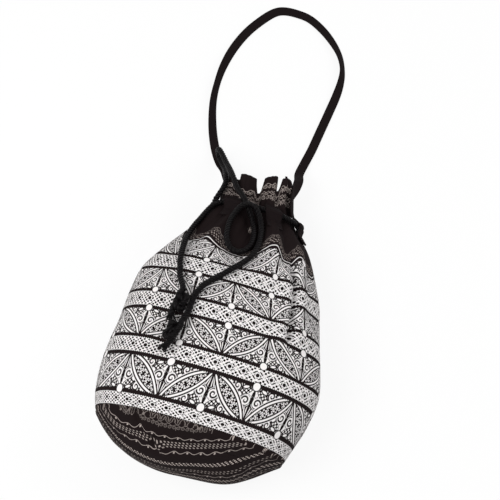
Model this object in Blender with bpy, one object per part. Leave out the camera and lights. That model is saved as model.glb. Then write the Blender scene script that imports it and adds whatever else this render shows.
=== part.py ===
"""A drawstring bucket bag of printed cotton, lying on its back on a table.

Metres, +Z up. The bag's length runs along +Y, from the oval base to the gathered mouth,
and the carrying strap lies in a loop beyond the mouth. The origin is on the flat patch
where the back of the bag rests on the table.
"""
import math

import bmesh
import bpy
from mathutils import Vector

# Sizes of the cloth body, in metres.
CLEARANCE = 0.0003        # gap left between two pieces that touch
WALL = 0.0018             # printed cotton and its lining
BODY_WIDTH = 0.263        # across the bag where it is fullest
BODY_TOP = 0.160          # height of the fullest part above the table
BODY_LENGTH = 0.303       # from the base hem to the drawstring
HEM_Y = -0.140            # where the base hem lies
FLOOR_PRESS = 0.012       # how far the table flattens the round underside
NECK_WIDTH = 0.101        # across the gathered neck
NECK_TOP = 0.082          # height of the gathered neck above the table
NECK_LIFT = 0.014         # how far the neck's underside stays off the table
FRILL_LENGTH = 0.040      # cloth standing out beyond the drawstring
FRILL_LOBE = 0.010        # how far the frill's ridges stand out past its middle, and its valleys behind
FRILL_SLANT = 0.009       # how much further the frill stands out on the right
SQUARENESS = 2.3          # 2 is an ellipse, more is boxier
PLEAT_SPAN = 30           # degrees round the neck that a usual pleat takes
PLEAT_DEPTH = 0.0072      # depth of a pleat of that span, at the drawstring; a wider one is deeper
PLEAT_LENGTH = 0.170      # how far the pleats run down from the drawstring
PLEAT_RIDGES = (6, 34, 62, 133, 163, 196, 230, 262, 296, 331)  # degrees round the neck

# Sizes of the base.
BASE_TURN = 0.020         # printed cloth turned round the hem onto the base
BASE_BULGE = 0.041        # how far the soft base swells out past the hem
BASE_LEAN = 0.35          # how much more it swells on the left than on the right
BASE_CURVE = 2.4          # 2 is a round dome, more is flatter in the middle

# Sizes of the strap, in metres.
STRAP_WIDTH = 0.0125
STRAP_THICKNESS = 0.0024
STRAP_REACH = 0.291       # how far the loop reaches past the frill
STRAP_SPREAD = 0.165      # how wide the loop lies
STRAP_OFFSET = -0.0235    # where the middle of the loop lies, to the left of the bag's axis
STRAP_SEWN = 0.022        # length sewn to the body below the drawstring
STRAP_RIGHT_ANGLE = 16    # degrees round the neck where each end is sewn
STRAP_LEFT_ANGLE = 196

# Sizes of the tabs that hold the drawstring to the neck.
TAB_WIDTH = 0.019
TAB_THICKNESS = 0.0014
TAB_TAIL = 0.022          # from the drawstring down to the tab's lower end
TAB_HEAD = 0.012          # from the drawstring up to the tab's upper end
TAB_ANGLES = {
    "tab_front_right": 62,
    "tab_front_left": 133,
    "tab_back_left": 230,
    "tab_back_right": 296,
}

# Sizes of the drawstring.
CORD_DIAMETER = 0.0078
CORD_SEAT = 0.0016        # how far the cord lies off the tops of the pleats
RING_START = 150          # degrees round the neck where the held stretch begins and ends
RING_END = -190
KNOT_LENGTH = 0.026
KNOT_WIDTH = 0.023
KNOT_HEIGHT = 0.017
KNOT_TAIL = 0.013         # cord end that stands out of a knot
KNOT_LEFT_SEAT = (-0.0605, -0.0035, 0.1556)
KNOT_LEFT_LIE = 262       # degrees round Z in which each knot's end points
KNOT_RIGHT_SEAT = (-0.0535, -0.0430, 0.1626)
KNOT_RIGHT_LIE = 253

# Colours.
PRINT_BLACK = (0.055, 0.042, 0.045, 1)
PRINT_WHITE = (0.62, 0.59, 0.57, 1)
CORD_BLACK = (0.020, 0.018, 0.019, 1)
STRAP_BLACK = (0.040, 0.031, 0.034, 1)

# Shape of the lying body, station by station from the hem (0) to the drawstring (1):
# share of the length, fullness, crown, share pressed on the table, sideways lean in metres.
STATIONS = (
    (0.00, 0.80, 0.90, 0.85, -0.0035),
    (0.07, 0.885, 0.97, 1.00, -0.0035),
    (0.18, 0.97, 1.00, 1.00, -0.0002),
    (0.29, 1.00, 0.98, 1.00, 0.0022),
    (0.40, 0.945, 0.92, 1.00, 0.0012),
    (0.50, 0.89, 0.85, 1.00, -0.0020),
    (0.61, 0.82, 0.745, 1.00, -0.0050),
    (0.68, 0.735, 0.655, 0.98, -0.0035),
    (0.75, 0.61, 0.55, 0.90, -0.0015),
    (0.83, 0.44, 0.42, 0.70, 0.0020),
    (0.89, 0.305, 0.295, 0.49, 0.0030),
    (0.96, 0.13, 0.12, 0.17, 0.0000),
    (1.00, 0.03, 0.02, 0.03, -0.0015),
    (1.08, -0.08, 0.00, 0.00, -0.0045),
    (1.16, -0.12, 0.00, 0.00, -0.0060),
)

# The strap's loop on the table: share of half its spread, share of its reach,
# tilt of its face in degrees, metres that it is lifted off the table.
LOOP = (
    (0.760, 0.072, 0, 0.0400),
    (0.745, 0.150, 0, 0.0140),
    (0.785, 0.228, 0, 0.0030),
    (0.84, 0.310, 2, 0),
    (0.89, 0.410, 5, 0),
    (0.945, 0.520, 10, 0),
    (0.990, 0.620, 22, 0),
    (1.00, 0.70, 42, 0),
    (0.965, 0.765, 52, 0),
    (0.855, 0.834, 40, 0),
    (0.67, 0.898, 22, 0),
    (0.442, 0.952, 10, 0),
    (0.188, 0.990, 5, 0),
    (-0.055, 1.000, 0, 0),
    (-0.273, 0.993, -4, 0),
    (-0.430, 0.968, -8, 0),
    (-0.600, 0.907, -14, 0),
    (-0.782, 0.817, -20, 0),
    (-0.915, 0.713, -28, 0),
    (-0.988, 0.602, -42, 0),
    (-1.000, 0.498, -52, 0),
    (-0.965, 0.395, -42, 0),
    (-0.855, 0.278, -26, 0),
    (-0.715, 0.180, -12, 0.0020),
    (-0.570, 0.104, -6, 0.0095),
    (-0.420, 0.045, -3, 0.0220),
)

# Free stretches of the drawstring, in metres, chosen by hand on the cloth and the table.
LEFT_ROUTE = (
    (-0.0489, 0.1624, 0.0751),
    (-0.0550, 0.1586, 0.0736),
    (-0.0600, 0.1510, 0.0760),
    (-0.0642, 0.1405, 0.0794),
    (-0.0682, 0.1275, 0.0855),
    (-0.0720, 0.1145, 0.0934),
    (-0.0756, 0.0955, 0.1048),
    (-0.0760, 0.0780, 0.1174),
    (-0.0744, 0.0580, 0.1306),
    (-0.0708, 0.0420, 0.1378),
    (-0.0675, 0.0310, 0.1424),
    (-0.0640, 0.0235, 0.1478),
    (-0.0606, 0.0166, 0.1536),
    (-0.0591, 0.0130, 0.1552),
    (-0.0587, 0.0104, 0.1556),
)
SLACK_ROUTE = (
    (-0.0580, 0.1636, 0.0608),
    (-0.0576, 0.1665, 0.0670),
    (-0.0550, 0.1735, 0.0715),
    (-0.0525, 0.1825, 0.0715),
    (-0.0515, 0.1930, 0.0698),
    (-0.0535, 0.2040, 0.0632),
    (-0.0565, 0.2140, 0.0505),
    (-0.0580, 0.2225, 0.0385),
    (-0.0615, 0.2300, 0.0290),
    (-0.0660, 0.2375, 0.0220),
    (-0.0705, 0.2440, 0.0190),
    (-0.0740, 0.2490, 0.0215),
    (-0.0755, 0.2510, 0.0290),
    (-0.0740, 0.2490, 0.0370),
    (-0.0695, 0.2430, 0.0425),
    (-0.0635, 0.2340, 0.0480),
    (-0.0575, 0.2240, 0.0555),
    (-0.0515, 0.2130, 0.0670),
    (-0.0450, 0.2005, 0.0785),
    (-0.0390, 0.1890, 0.0850),
    (-0.0345, 0.1815, 0.0880),
)
RIGHT_ROUTE = (
    (-0.0343, 0.1803, 0.0890),
    (-0.0260, 0.1725, 0.0930),
    (-0.0185, 0.1630, 0.0968),
    (-0.0120, 0.1540, 0.0950),
    (-0.0035, 0.1415, 0.0935),
    (0.0022, 0.1240, 0.1038),
    (0.0026, 0.1030, 0.1162),
    (-0.0060, 0.0885, 0.1220),
    (-0.0190, 0.0880, 0.1228),
    (-0.0275, 0.0995, 0.1194),
    (-0.0305, 0.1160, 0.1130),
    (-0.0298, 0.1340, 0.1046),
    (-0.0255, 0.1490, 0.1020),
    (-0.0190, 0.1568, 0.1039),
    (-0.0090, 0.1585, 0.1026),
    (0.0005, 0.1510, 0.0998),
    (0.0070, 0.1385, 0.1008),
    (0.0106, 0.1240, 0.1064),
    (0.0113, 0.1045, 0.1184),
    (0.0076, 0.0860, 0.1274),
    (-0.0008, 0.0725, 0.1312),
    (-0.0105, 0.0600, 0.1358),
    (-0.0240, 0.0425, 0.1430),
    (-0.0370, 0.0265, 0.1482),
    (-0.0435, 0.0115, 0.1510),
    (-0.0450, -0.0030, 0.1530),
    (-0.0460, -0.0160, 0.1566),
    (-0.0474, -0.0225, 0.1602),
    (-0.0486, -0.0265, 0.1619),
    (-0.0495, -0.0301, 0.1626),
)


def between(low, high, share):
    return low + (high - low) * share


def ease(share):
    share = min(max(share, 0.0), 1.0)
    return share * share * (3 - 2 * share)


def through(points, share):
    """The point at a share of the way through a row of points, on a smooth curve (Catmull-Rom)."""
    place = min(max(share, 0.0), 1.0) * (len(points) - 1)
    index = min(int(place), len(points) - 2)
    part = place - index
    before = points[max(index - 1, 0)]
    start = points[index]
    end = points[index + 1]
    after = points[min(index + 2, len(points) - 1)]
    result = []
    for p0, p1, p2, p3 in zip(before, start, end, after):
        bend = 2 * p0 - 5 * p1 + 4 * p2 - p3
        twist = 3 * (p1 - p2) + p3 - p0
        result.append(0.5 * (2 * p1 + (p2 - p0) * part + bend * part**2 + twist * part**3))
    return result


def station(share):
    """Fullness, crown, press and lean at a share of the body's length, on a smooth curve."""
    index = 0
    while index < len(STATIONS) - 2 and share > STATIONS[index + 1][0]:
        index += 1
    start = STATIONS[index]
    end = STATIONS[index + 1]
    before = STATIONS[max(index - 1, 0)]
    after = STATIONS[min(index + 2, len(STATIONS) - 1)]
    span = end[0] - start[0]
    part = (share - start[0]) / span
    result = []
    for column in range(1, 5):
        slope_in = (end[column] - before[column]) / (end[0] - before[0]) * span
        slope_out = (after[column] - start[column]) / (after[0] - start[0]) * span
        rise = end[column] - start[column]
        bend = 3 * rise - 2 * slope_in - slope_out
        twist = slope_in + slope_out - 2 * rise
        result.append(start[column] + slope_in * part + bend * part**2 + twist * part**3)
    return result


def section(y):
    """Centre x and z and half-axes of the bag's cross-section at y."""
    fullness, crown, press, lean = station((y - HEM_Y) / BODY_LENGTH)
    half_width = between(NECK_WIDTH, BODY_WIDTH, fullness) / 2
    top = between(NECK_TOP, BODY_TOP, crown)
    underside = between(NECK_LIFT, -FLOOR_PRESS, press)
    return lean, (top + underside) / 2, half_width, (top - underside) / 2


def oval(half_width, half_height, angle):
    """A point on the rounded oval, and how far it lies from the centre."""
    across = abs(math.cos(angle)) / half_width
    upward = abs(math.sin(angle)) / half_height
    radius = (across**SQUARENESS + upward**SQUARENESS) ** (-1 / SQUARENESS)
    return Vector((radius * math.cos(angle), 0, radius * math.sin(angle))), radius


def valley(angle):
    """How deep the pleats lie at an angle round the neck: 0 on a ridge."""
    degrees = math.degrees(angle) % 360
    ridges = [PLEAT_RIDGES[-1] - 360, *PLEAT_RIDGES, PLEAT_RIDGES[0] + 360]
    for low, high in zip(ridges, ridges[1:]):
        if low <= degrees <= high:
            width = high - low
            depth = PLEAT_DEPTH * width / PLEAT_SPAN
            return depth * (1 - math.cos(2 * math.pi * (degrees - low) / width)) / 2
    return 0.0


DRAW_Y = HEM_Y + BODY_LENGTH
RIM_Y = DRAW_Y + FRILL_LENGTH

# Small steps used to find which way a surface faces.
PROBE_TURN = math.radians(0.5)
PROBE_STEP = 0.0005


def envelope(angle, y):
    """A point on the ridges of the pleats, where what is sewn to the bag lies."""
    x, z, half_width, half_height = section(y)
    point, _ = oval(half_width, half_height, angle)
    return point + Vector((x, y, z))


def envelope_normal(angle, y):
    along = envelope(angle + PROBE_TURN, y) - envelope(angle - PROBE_TURN, y)
    return Vector((along.z, 0, -along.x)).normalized()


def side_point(angle, length):
    """A point of the cloth at an angle round the bag and a length along it from the hem."""
    y = HEM_Y + length
    if y > DRAW_Y:
        lobe = FRILL_LOBE * (1 - 2 * min(valley(angle) / PLEAT_DEPTH, 1))
        lobe += FRILL_SLANT * math.cos(angle)
        y = between(DRAW_Y, RIM_Y + lobe, (y - DRAW_Y) / FRILL_LENGTH)
    x, z, half_width, half_height = section(y)
    point, radius = oval(half_width, half_height, angle)
    growth = ease((y - DRAW_Y + PLEAT_LENGTH) / PLEAT_LENGTH)
    point *= 1 - growth * valley(angle) / radius
    point += Vector((x, y, z))
    point.z = max(point.z, 0.0)
    return point


def base_point(angle, inset, share=1.0):
    """A point of the base: inset from the hem, then a share of the way out from the middle."""
    x, z, half_width, half_height = section(HEM_Y)
    point, _ = oval(half_width - inset, half_height - inset, angle)
    spread = share * (half_width - inset) / half_width
    y = HEM_Y - BASE_BULGE * (1 - spread**BASE_CURVE) * (1 - BASE_LEAN * spread * math.cos(angle))
    point = point * share + Vector((x, y, z))
    point.z = max(point.z, 0.0)
    return point


def cloth_point(angle, length):
    """A point of the printed cloth; lengths below 0 lie on the base, past the hem."""
    if length < 0:
        return base_point(angle, -length)
    return side_point(angle, length)


def inner_point(surface, angle, length, depth):
    """The point that lies depth below a point of a surface."""
    around = surface(angle + PROBE_TURN, length) - surface(angle - PROBE_TURN, length)
    along = surface(angle, length + PROBE_STEP) - surface(angle, length - PROBE_STEP)
    return surface(angle, length) + around.cross(along).normalized() * depth


def clear_scene():
    for leftover in list(bpy.data.objects):
        bpy.data.objects.remove(leftover, do_unlink=True)


def make_material(name, colour, roughness, metallic=0.0):
    material = bpy.data.materials.new(name)
    material.use_nodes = True
    shader = material.node_tree.nodes["Principled BSDF"]
    shader.inputs["Base Color"].default_value = colour
    shader.inputs["Roughness"].default_value = roughness
    shader.inputs["Metallic"].default_value = metallic
    material.diffuse_color = colour
    return material


def finish_mesh(name, mesh_builder, material, smooth=True):
    """Turns a bmesh into an object with its faces pointing out."""
    bmesh.ops.recalc_face_normals(mesh_builder, faces=mesh_builder.faces)
    if mesh_builder.calc_volume(signed=True) < 0:
        bmesh.ops.reverse_faces(mesh_builder, faces=mesh_builder.faces)
    mesh = bpy.data.meshes.new(name)
    mesh_builder.to_mesh(mesh)
    mesh_builder.free()
    mesh.materials.append(material)
    if smooth:
        mesh.shade_smooth()
    piece = bpy.data.objects.new(name, mesh)
    bpy.context.scene.collection.objects.link(piece)
    return piece


def skin(name, outer, inner, material):
    """A thin closed solid between two grids of points with open ends and sides."""
    builder = bmesh.new()
    grids = [[[builder.verts.new(point) for point in row] for row in grid] for grid in (outer, inner)]
    rows = len(outer)
    columns = len(outer[0])
    for grid in grids:
        for row in range(rows - 1):
            for column in range(columns - 1):
                builder.faces.new((
                    grid[row][column],
                    grid[row][column + 1],
                    grid[row + 1][column + 1],
                    grid[row + 1][column],
                ))
    edge = [(0, column) for column in range(columns)]
    edge += [(row, columns - 1) for row in range(1, rows)]
    edge += [(rows - 1, column) for column in range(columns - 2, -1, -1)]
    edge += [(row, 0) for row in range(rows - 2, 0, -1)]
    for (row_a, column_a), (row_b, column_b) in zip(edge, edge[1:] + edge[:1]):
        builder.faces.new((
            grids[0][row_a][column_a],
            grids[0][row_b][column_b],
            grids[1][row_b][column_b],
            grids[1][row_a][column_a],
        ))
    return finish_mesh(name, builder, material)


# Lengths along the cloth from the hem where the panels have a row of points.
BASE_ROWS = (-BASE_TURN, -BASE_TURN / 2)
SIDE_SHARES = (0, 0.08, 0.19, 0.30, 0.40, 0.50, 0.58, 0.65, 0.71, 0.77, 0.83, 0.89, 0.95, 1)
FRILL_SHARES = (0.24, 0.6, 1)
PANEL_STEPS = 40


def panel(name, first_angle, material):
    """Half of the printed body, between its two side seams."""
    lengths = [*BASE_ROWS]
    lengths += [share * BODY_LENGTH for share in SIDE_SHARES]
    lengths += [BODY_LENGTH + share * FRILL_LENGTH for share in FRILL_SHARES]
    outer = []
    inner = []
    for length in lengths:
        outer_row = []
        inner_row = []
        for step in range(PANEL_STEPS + 1):
            angle = first_angle + math.pi * step / PANEL_STEPS
            seam = Vector((0, 0, 0))
            if step in (0, PANEL_STEPS):
                seam.z = math.copysign(CLEARANCE / 2, math.sin(first_angle + math.pi / 2))
            outer_row.append(cloth_point(angle, length) + seam)
            inner_row.append(inner_point(cloth_point, angle, length, WALL) + seam)
        outer.append(outer_row)
        inner.append(inner_row)
    return skin(name, outer, inner, material)


BASE_SHARES = (1, 0.86, 0.68, 0.46, 0.22)
BASE_STEPS = 44


def base_panel(name, material):
    """The soft oval base, one closed dome of cloth."""
    inset = BASE_TURN + CLEARANCE

    def surface(angle, share):
        return base_point(angle, inset, share)

    builder = bmesh.new()
    sheets = []
    for depth in (0, WALL):
        rings = []
        for share in BASE_SHARES:
            ring = []
            for step in range(BASE_STEPS):
                angle = 2 * math.pi * step / BASE_STEPS
                ring.append(builder.verts.new(inner_point(surface, angle, share, depth)))
            rings.append(ring)
        middle = surface(0, 0)
        middle.y += depth
        for ring_a, ring_b in zip(rings, rings[1:]):
            bridge(builder, ring_a, ring_b)
        fan(builder, rings[-1], builder.verts.new(middle))
        sheets.append(rings[0])
    bridge(builder, sheets[0], sheets[1])
    return finish_mesh(name, builder, material)


def bridge(builder, ring_a, ring_b):
    count = len(ring_a)
    for step in range(count):
        following = (step + 1) % count
        builder.faces.new((ring_a[step], ring_a[following], ring_b[following], ring_b[step]))


def fan(builder, ring, middle):
    count = len(ring)
    for step in range(count):
        builder.faces.new((ring[step], ring[(step + 1) % count], middle))


CORD_HUMP = CORD_DIAMETER / 2 + CORD_SEAT
CORD_GRIP = CORD_DIAMETER / 2 + CLEARANCE
HUMP_SHOULDER = 0.76      # in grips from the cord's middle, where a strip leaves the cord
HUMP_FOOT = 2.4           # in grips from the cord's middle, where it reaches the cloth
HUMP_FLANK = 0.4          # in grips from the cord's middle, half way up its back
HUMP_PLACES = (
    -HUMP_FOOT,
    -HUMP_SHOULDER,
    -HUMP_FLANK,
    0,
    HUMP_FLANK,
    HUMP_SHOULDER,
    HUMP_FOOT,
)
HUMP_MARGIN = 0.01        # in grips, so that both shoulders count as over the cord


def hump(y, grip):
    """How far a strip stands off the neck where it passes, at a radius of grip, over the cord."""
    distance = abs(y - DRAW_Y) / grip
    shoulder = CORD_HUMP + grip * math.sqrt(1 - HUMP_SHOULDER**2)
    if distance > HUMP_SHOULDER:
        share = (HUMP_FOOT - distance) / (HUMP_FOOT - HUMP_SHOULDER)
        return shoulder * max(share, 0.0)
    return CORD_HUMP + grip * math.sqrt(1 - distance**2)


def strip_seat(angle, y, grip):
    """Where a strip sewn along the neck is seated at y, and the way out from the cloth."""
    over_cord = abs(y - DRAW_Y) <= (HUMP_SHOULDER + HUMP_MARGIN) * grip
    seat = envelope(angle, DRAW_Y if over_cord else y)
    seat.y = y
    return seat, envelope_normal(angle, y)


TAB_STEPS = 6


def tab(name, angle, material):
    """A strip sewn to the neck above and below the drawstring, which runs under it."""
    places = [DRAW_Y - TAB_TAIL]
    places += [DRAW_Y + place * CORD_GRIP for place in HUMP_PLACES]
    places.append(DRAW_Y + TAB_HEAD)
    outer = []
    inner = []
    for y in places:
        _, radius = oval(*section(y)[2:], math.radians(angle))
        half_turn = TAB_WIDTH / 2 / radius
        outer_row = []
        inner_row = []
        for step in range(TAB_STEPS + 1):
            turn = math.radians(angle) + between(-half_turn, half_turn, step / TAB_STEPS)
            seat, normal = strip_seat(turn, y, CORD_GRIP)
            height = CLEARANCE + hump(y, CORD_GRIP)
            inner_row.append(seat + normal * height)
            outer_row.append(seat + normal * (height + TAB_THICKNESS))
        outer.append(outer_row)
        inner.append(inner_row)
    return skin(name, outer, inner, material)


def strap_end(angle_degrees):
    """Middle of the strap and the way its face points, from the body up to the frill's edge."""
    angle = math.radians(angle_degrees)
    grip = CORD_GRIP + STRAP_THICKNESS / 2
    places = [DRAW_Y - STRAP_SEWN]
    places += [DRAW_Y + place * grip for place in HUMP_PLACES]
    places.append(RIM_Y)
    stretch = []
    for y in places:
        seat, normal = strip_seat(angle, y, grip)
        height = 2 * CLEARANCE + max(hump(y, grip), STRAP_THICKNESS / 2)
        stretch.append((seat + normal * height, normal))
    return stretch


def strap_loop():
    """Middle and facing of the strap where it lies on the table, from right to left."""
    stretch = []
    for across, along, tilt, lift in LOOP:
        lean = math.radians(tilt)
        height = STRAP_THICKNESS / 2 * math.cos(lean) + STRAP_WIDTH / 2 * abs(math.sin(lean))
        x = STRAP_OFFSET + across * STRAP_SPREAD / 2
        y = RIM_Y + FRILL_LOBE + along * STRAP_REACH
        stretch.append((Vector((x, y, height + CLEARANCE + lift)), lean))
    return stretch


STRAP_STEPS = 96


def strap_places():
    """Middle and facing of the strap all the way from its right end to its left end."""
    right = [(*point, *normal) for point, normal in strap_end(STRAP_RIGHT_ANGLE)]
    left = [(*point, *normal) for point, normal in strap_end(STRAP_LEFT_ANGLE)[::-1]]
    loop = []
    table = strap_loop()
    for index, (point, lean) in enumerate(table):
        ahead = table[min(index + 1, len(table) - 1)][0] - table[max(index - 1, 0)][0]
        across = Vector((ahead.y, -ahead.x, 0)).normalized()
        normal = Vector((0, 0, math.cos(lean))) + across * math.sin(lean)
        loop.append((*point, *normal))
    route = [right[-1], *loop, left[0]]
    free = [through(route, step / STRAP_STEPS) for step in range(1, STRAP_STEPS)]
    return [*right, *free, *left]


def carry_strap(name, material):
    """One strip of webbing, sewn to both sides of the neck."""
    places = strap_places()
    builder = bmesh.new()
    rings = []
    for index, place in enumerate(places):
        point = Vector(place[:3])
        ahead = Vector(places[min(index + 1, len(places) - 1)][:3])
        ahead -= Vector(places[max(index - 1, 0)][:3])
        across = ahead.cross(Vector(place[3:])).normalized()
        normal = across.cross(ahead).normalized()
        ring = []
        for side, face in ((1, 1), (1, -1), (-1, -1), (-1, 1)):
            corner = point + across * side * STRAP_WIDTH / 2 + normal * face * STRAP_THICKNESS / 2
            ring.append(builder.verts.new(corner))
        rings.append(ring)
    for ring_a, ring_b in zip(rings, rings[1:]):
        bridge(builder, ring_a, ring_b)
    builder.faces.new(rings[0])
    builder.faces.new(rings[-1])
    return finish_mesh(name, builder, material, smooth=False)


CORD_SPACING = 1.7        # diameters from one point of a cord to the next


def rope(name, points, material):
    """A plain round cord along points, with a point every few diameters."""
    length = sum(
        (Vector(high) - Vector(low)).length for low, high in zip(points, points[1:])
    )
    count = round(length / (CORD_DIAMETER * CORD_SPACING))
    curve = bpy.data.curves.new(name, "CURVE")
    curve.dimensions = "3D"
    curve.bevel_depth = CORD_DIAMETER / 2
    curve.bevel_resolution = 2
    curve.use_fill_caps = True
    spline = curve.splines.new("POLY")
    spline.points.add(count)
    for step, point in enumerate(spline.points):
        point.co = (*through(points, step / count), 1)
    curve.materials.append(material)
    piece = bpy.data.objects.new(name, curve)
    bpy.context.scene.collection.objects.link(piece)
    return piece


RING_STEPS = 44


def held_ring():
    """The drawstring's held stretch, under the tabs and the strap's ends."""
    points = []
    for step in range(RING_STEPS + 1):
        angle = math.radians(between(RING_START, RING_END, step / RING_STEPS))
        seat = envelope(angle, DRAW_Y)
        points.append(seat + envelope_normal(angle, DRAW_Y) * CORD_HUMP)
    return points


KNOT_STEPS = 16
KNOT_RINGS = 10


def knot(name, seat, lie, material):
    """An overhand knot as a round lump with the cord's short end standing out of it."""
    builder = bmesh.new()
    tail_radius = CORD_DIAMETER / 2
    shape = []
    for step in range(1, KNOT_RINGS + 1):
        turn = math.pi * step / (KNOT_RINGS + 1)
        shape.append((KNOT_LENGTH * (1 - math.cos(turn)) / 2, KNOT_WIDTH / 2 * math.sin(turn)))
    shape = [(along, radius) for along, radius in shape if along < KNOT_LENGTH / 2 or radius > tail_radius]
    shape.append((KNOT_LENGTH, tail_radius))
    shape.append((KNOT_LENGTH + KNOT_TAIL, tail_radius))
    flatness = KNOT_HEIGHT / KNOT_WIDTH
    ahead = Vector((math.cos(lie), math.sin(lie), 0))
    aside = Vector((-math.sin(lie), math.cos(lie), 0))
    start = Vector(seat) - ahead * KNOT_LENGTH / 2
    rings = []
    for along, radius in shape:
        squash = flatness if radius > tail_radius else 1.0
        ring = []
        for step in range(KNOT_STEPS):
            turn = 2 * math.pi * step / KNOT_STEPS
            point = start + ahead * along + aside * radius * math.cos(turn)
            point.z += radius * math.sin(turn) * squash
            ring.append(builder.verts.new(point))
        rings.append(ring)
    for ring_a, ring_b in zip(rings, rings[1:]):
        bridge(builder, ring_a, ring_b)
    fan(builder, rings[0], builder.verts.new(start))
    builder.faces.new(rings[-1])
    return finish_mesh(name, builder, material)


def build():
    clear_scene()
    printed = make_material("printed_cotton", PRINT_WHITE, 0.85)
    border = make_material("dark_printed_cotton", PRINT_BLACK, 0.85)
    webbing = make_material("black_webbing", STRAP_BLACK, 0.8)
    binding = make_material("black_cotton", STRAP_BLACK, 0.85)
    cord = make_material("black_cord", CORD_BLACK, 0.55)
    panel("front_panel", 0.0, printed)
    panel("back_panel", math.pi, printed)
    base_panel("base_panel", border)
    carry_strap("carry_strap", webbing)
    for name, angle in TAB_ANGLES.items():
        tab(name, angle, binding)
    rope("drawstring_neck", held_ring(), cord)
    rope("drawstring_left", LEFT_ROUTE, cord)
    rope("drawstring_slack", SLACK_ROUTE, cord)
    rope("drawstring_right", RIGHT_ROUTE, cord)
    knot("knot_left", KNOT_LEFT_SEAT, math.radians(KNOT_LEFT_LIE), cord)
    knot("knot_right", KNOT_RIGHT_SEAT, math.radians(KNOT_RIGHT_LIE), cord)


build()
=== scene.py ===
"""A drawstring bucket bag of printed cotton, lying on its back on a pale table.

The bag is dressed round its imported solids: two sewn halves of printed cloth, a soft base, a strap, four
tabs and one twisted drawstring with a knot at each end. Metres, +Z up, the mouth towards +Y.
"""
import math

import bmesh
import bpy
import numpy as np
from mathutils import Matrix, Vector, noise


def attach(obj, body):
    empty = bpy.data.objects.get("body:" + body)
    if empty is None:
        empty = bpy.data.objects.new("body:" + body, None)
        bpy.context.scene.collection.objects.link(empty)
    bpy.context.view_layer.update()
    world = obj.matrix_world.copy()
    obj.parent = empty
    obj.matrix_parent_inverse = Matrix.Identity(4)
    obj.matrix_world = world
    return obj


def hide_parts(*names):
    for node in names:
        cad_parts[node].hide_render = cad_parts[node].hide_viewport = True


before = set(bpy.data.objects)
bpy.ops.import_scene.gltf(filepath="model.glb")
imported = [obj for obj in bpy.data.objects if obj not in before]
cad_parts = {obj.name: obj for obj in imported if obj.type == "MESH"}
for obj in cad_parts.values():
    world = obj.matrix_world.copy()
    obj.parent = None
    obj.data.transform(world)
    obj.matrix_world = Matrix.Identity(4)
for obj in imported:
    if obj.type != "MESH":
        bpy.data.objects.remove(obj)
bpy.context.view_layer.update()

scene = bpy.context.scene

# Camera. It looks down on the bag from the side of its base, seventy degrees above the table, and is
# turned a little so that the bag lies aslant in the picture.
CAMERA_PLACE = (0.0030936, -0.3858837, 1.4397578)
CAMERA_TILT = math.radians(20)
CAMERA_ROLL = math.radians(16.4)
lens = bpy.data.cameras.new("camera")
lens.lens = 83
lens.sensor_width = 36
camera = bpy.data.objects.new("camera", lens)
camera.matrix_world = (
    Matrix.Translation(CAMERA_PLACE)
    @ Matrix.Rotation(CAMERA_TILT, 4, "X")
    @ Matrix.Rotation(CAMERA_ROLL, 4, "Z")
)
scene.collection.objects.link(camera)
scene.camera = camera
scene.view_settings.view_transform = "Standard"

# Table and light. A wide white table, two large soft lamps and an even pale room. Only the camera sees
# the table and the room glow, so that the ground is white while the bag's shadow stays on it.
TABLE_SIZE = 12.0
TABLE_WHITE = (0.86, 0.86, 0.86, 1)
TABLE_GLOW = 0.88
ROOM_LIGHT = 0.55
LAMP_AIM = (0, 0.05, 0.05)
LAMPS = (
    ("key_lamp", (-0.9, -0.5, 1.7), 1.1, 24.0),
    ("fill_lamp", (1.1, 0.9, 1.3), 1.2, 9.0),
)


def white_to_the_eye(tree, shader, share):
    """Mixes a white glow into a shader, which the camera alone sees."""
    nodes = tree.nodes
    path = nodes.new("ShaderNodeLightPath")
    amount = nodes.new("ShaderNodeMath")
    amount.operation = "MULTIPLY"
    amount.inputs[1].default_value = share
    tree.links.new(path.outputs["Is Camera Ray"], amount.inputs[0])
    kind = "ShaderNodeBackground" if shader.bl_idname == "ShaderNodeBackground" else "ShaderNodeEmission"
    glow = nodes.new(kind)
    glow.inputs["Color"].default_value = (1, 1, 1, 1)
    glow.inputs["Strength"].default_value = 1.0
    mix = nodes.new("ShaderNodeMixShader")
    tree.links.new(amount.outputs[0], mix.inputs[0])
    tree.links.new(shader.outputs[0], mix.inputs[1])
    tree.links.new(glow.outputs[0], mix.inputs[2])
    return mix


world = bpy.data.worlds.new("room")
world.use_nodes = True
scene.world = world
room = world.node_tree.nodes["Background"]
room.inputs["Color"].default_value = (1, 1, 1, 1)
room.inputs["Strength"].default_value = ROOM_LIGHT
room_mix = white_to_the_eye(world.node_tree, room, 1.0)
world.node_tree.links.new(room_mix.outputs[0], world.node_tree.nodes["World Output"].inputs["Surface"])

for lamp_name, lamp_place, lamp_size, lamp_power in LAMPS:
    lamp = bpy.data.lights.new(lamp_name, "AREA")
    lamp.shape = "DISK"
    lamp.size = lamp_size
    lamp.energy = lamp_power
    lamp_object = bpy.data.objects.new(lamp_name, lamp)
    lamp_object.location = lamp_place
    aim = Vector(LAMP_AIM) - Vector(lamp_place)
    lamp_object.rotation_euler = aim.to_track_quat("-Z", "Y").to_euler()
    scene.collection.objects.link(lamp_object)

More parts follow.
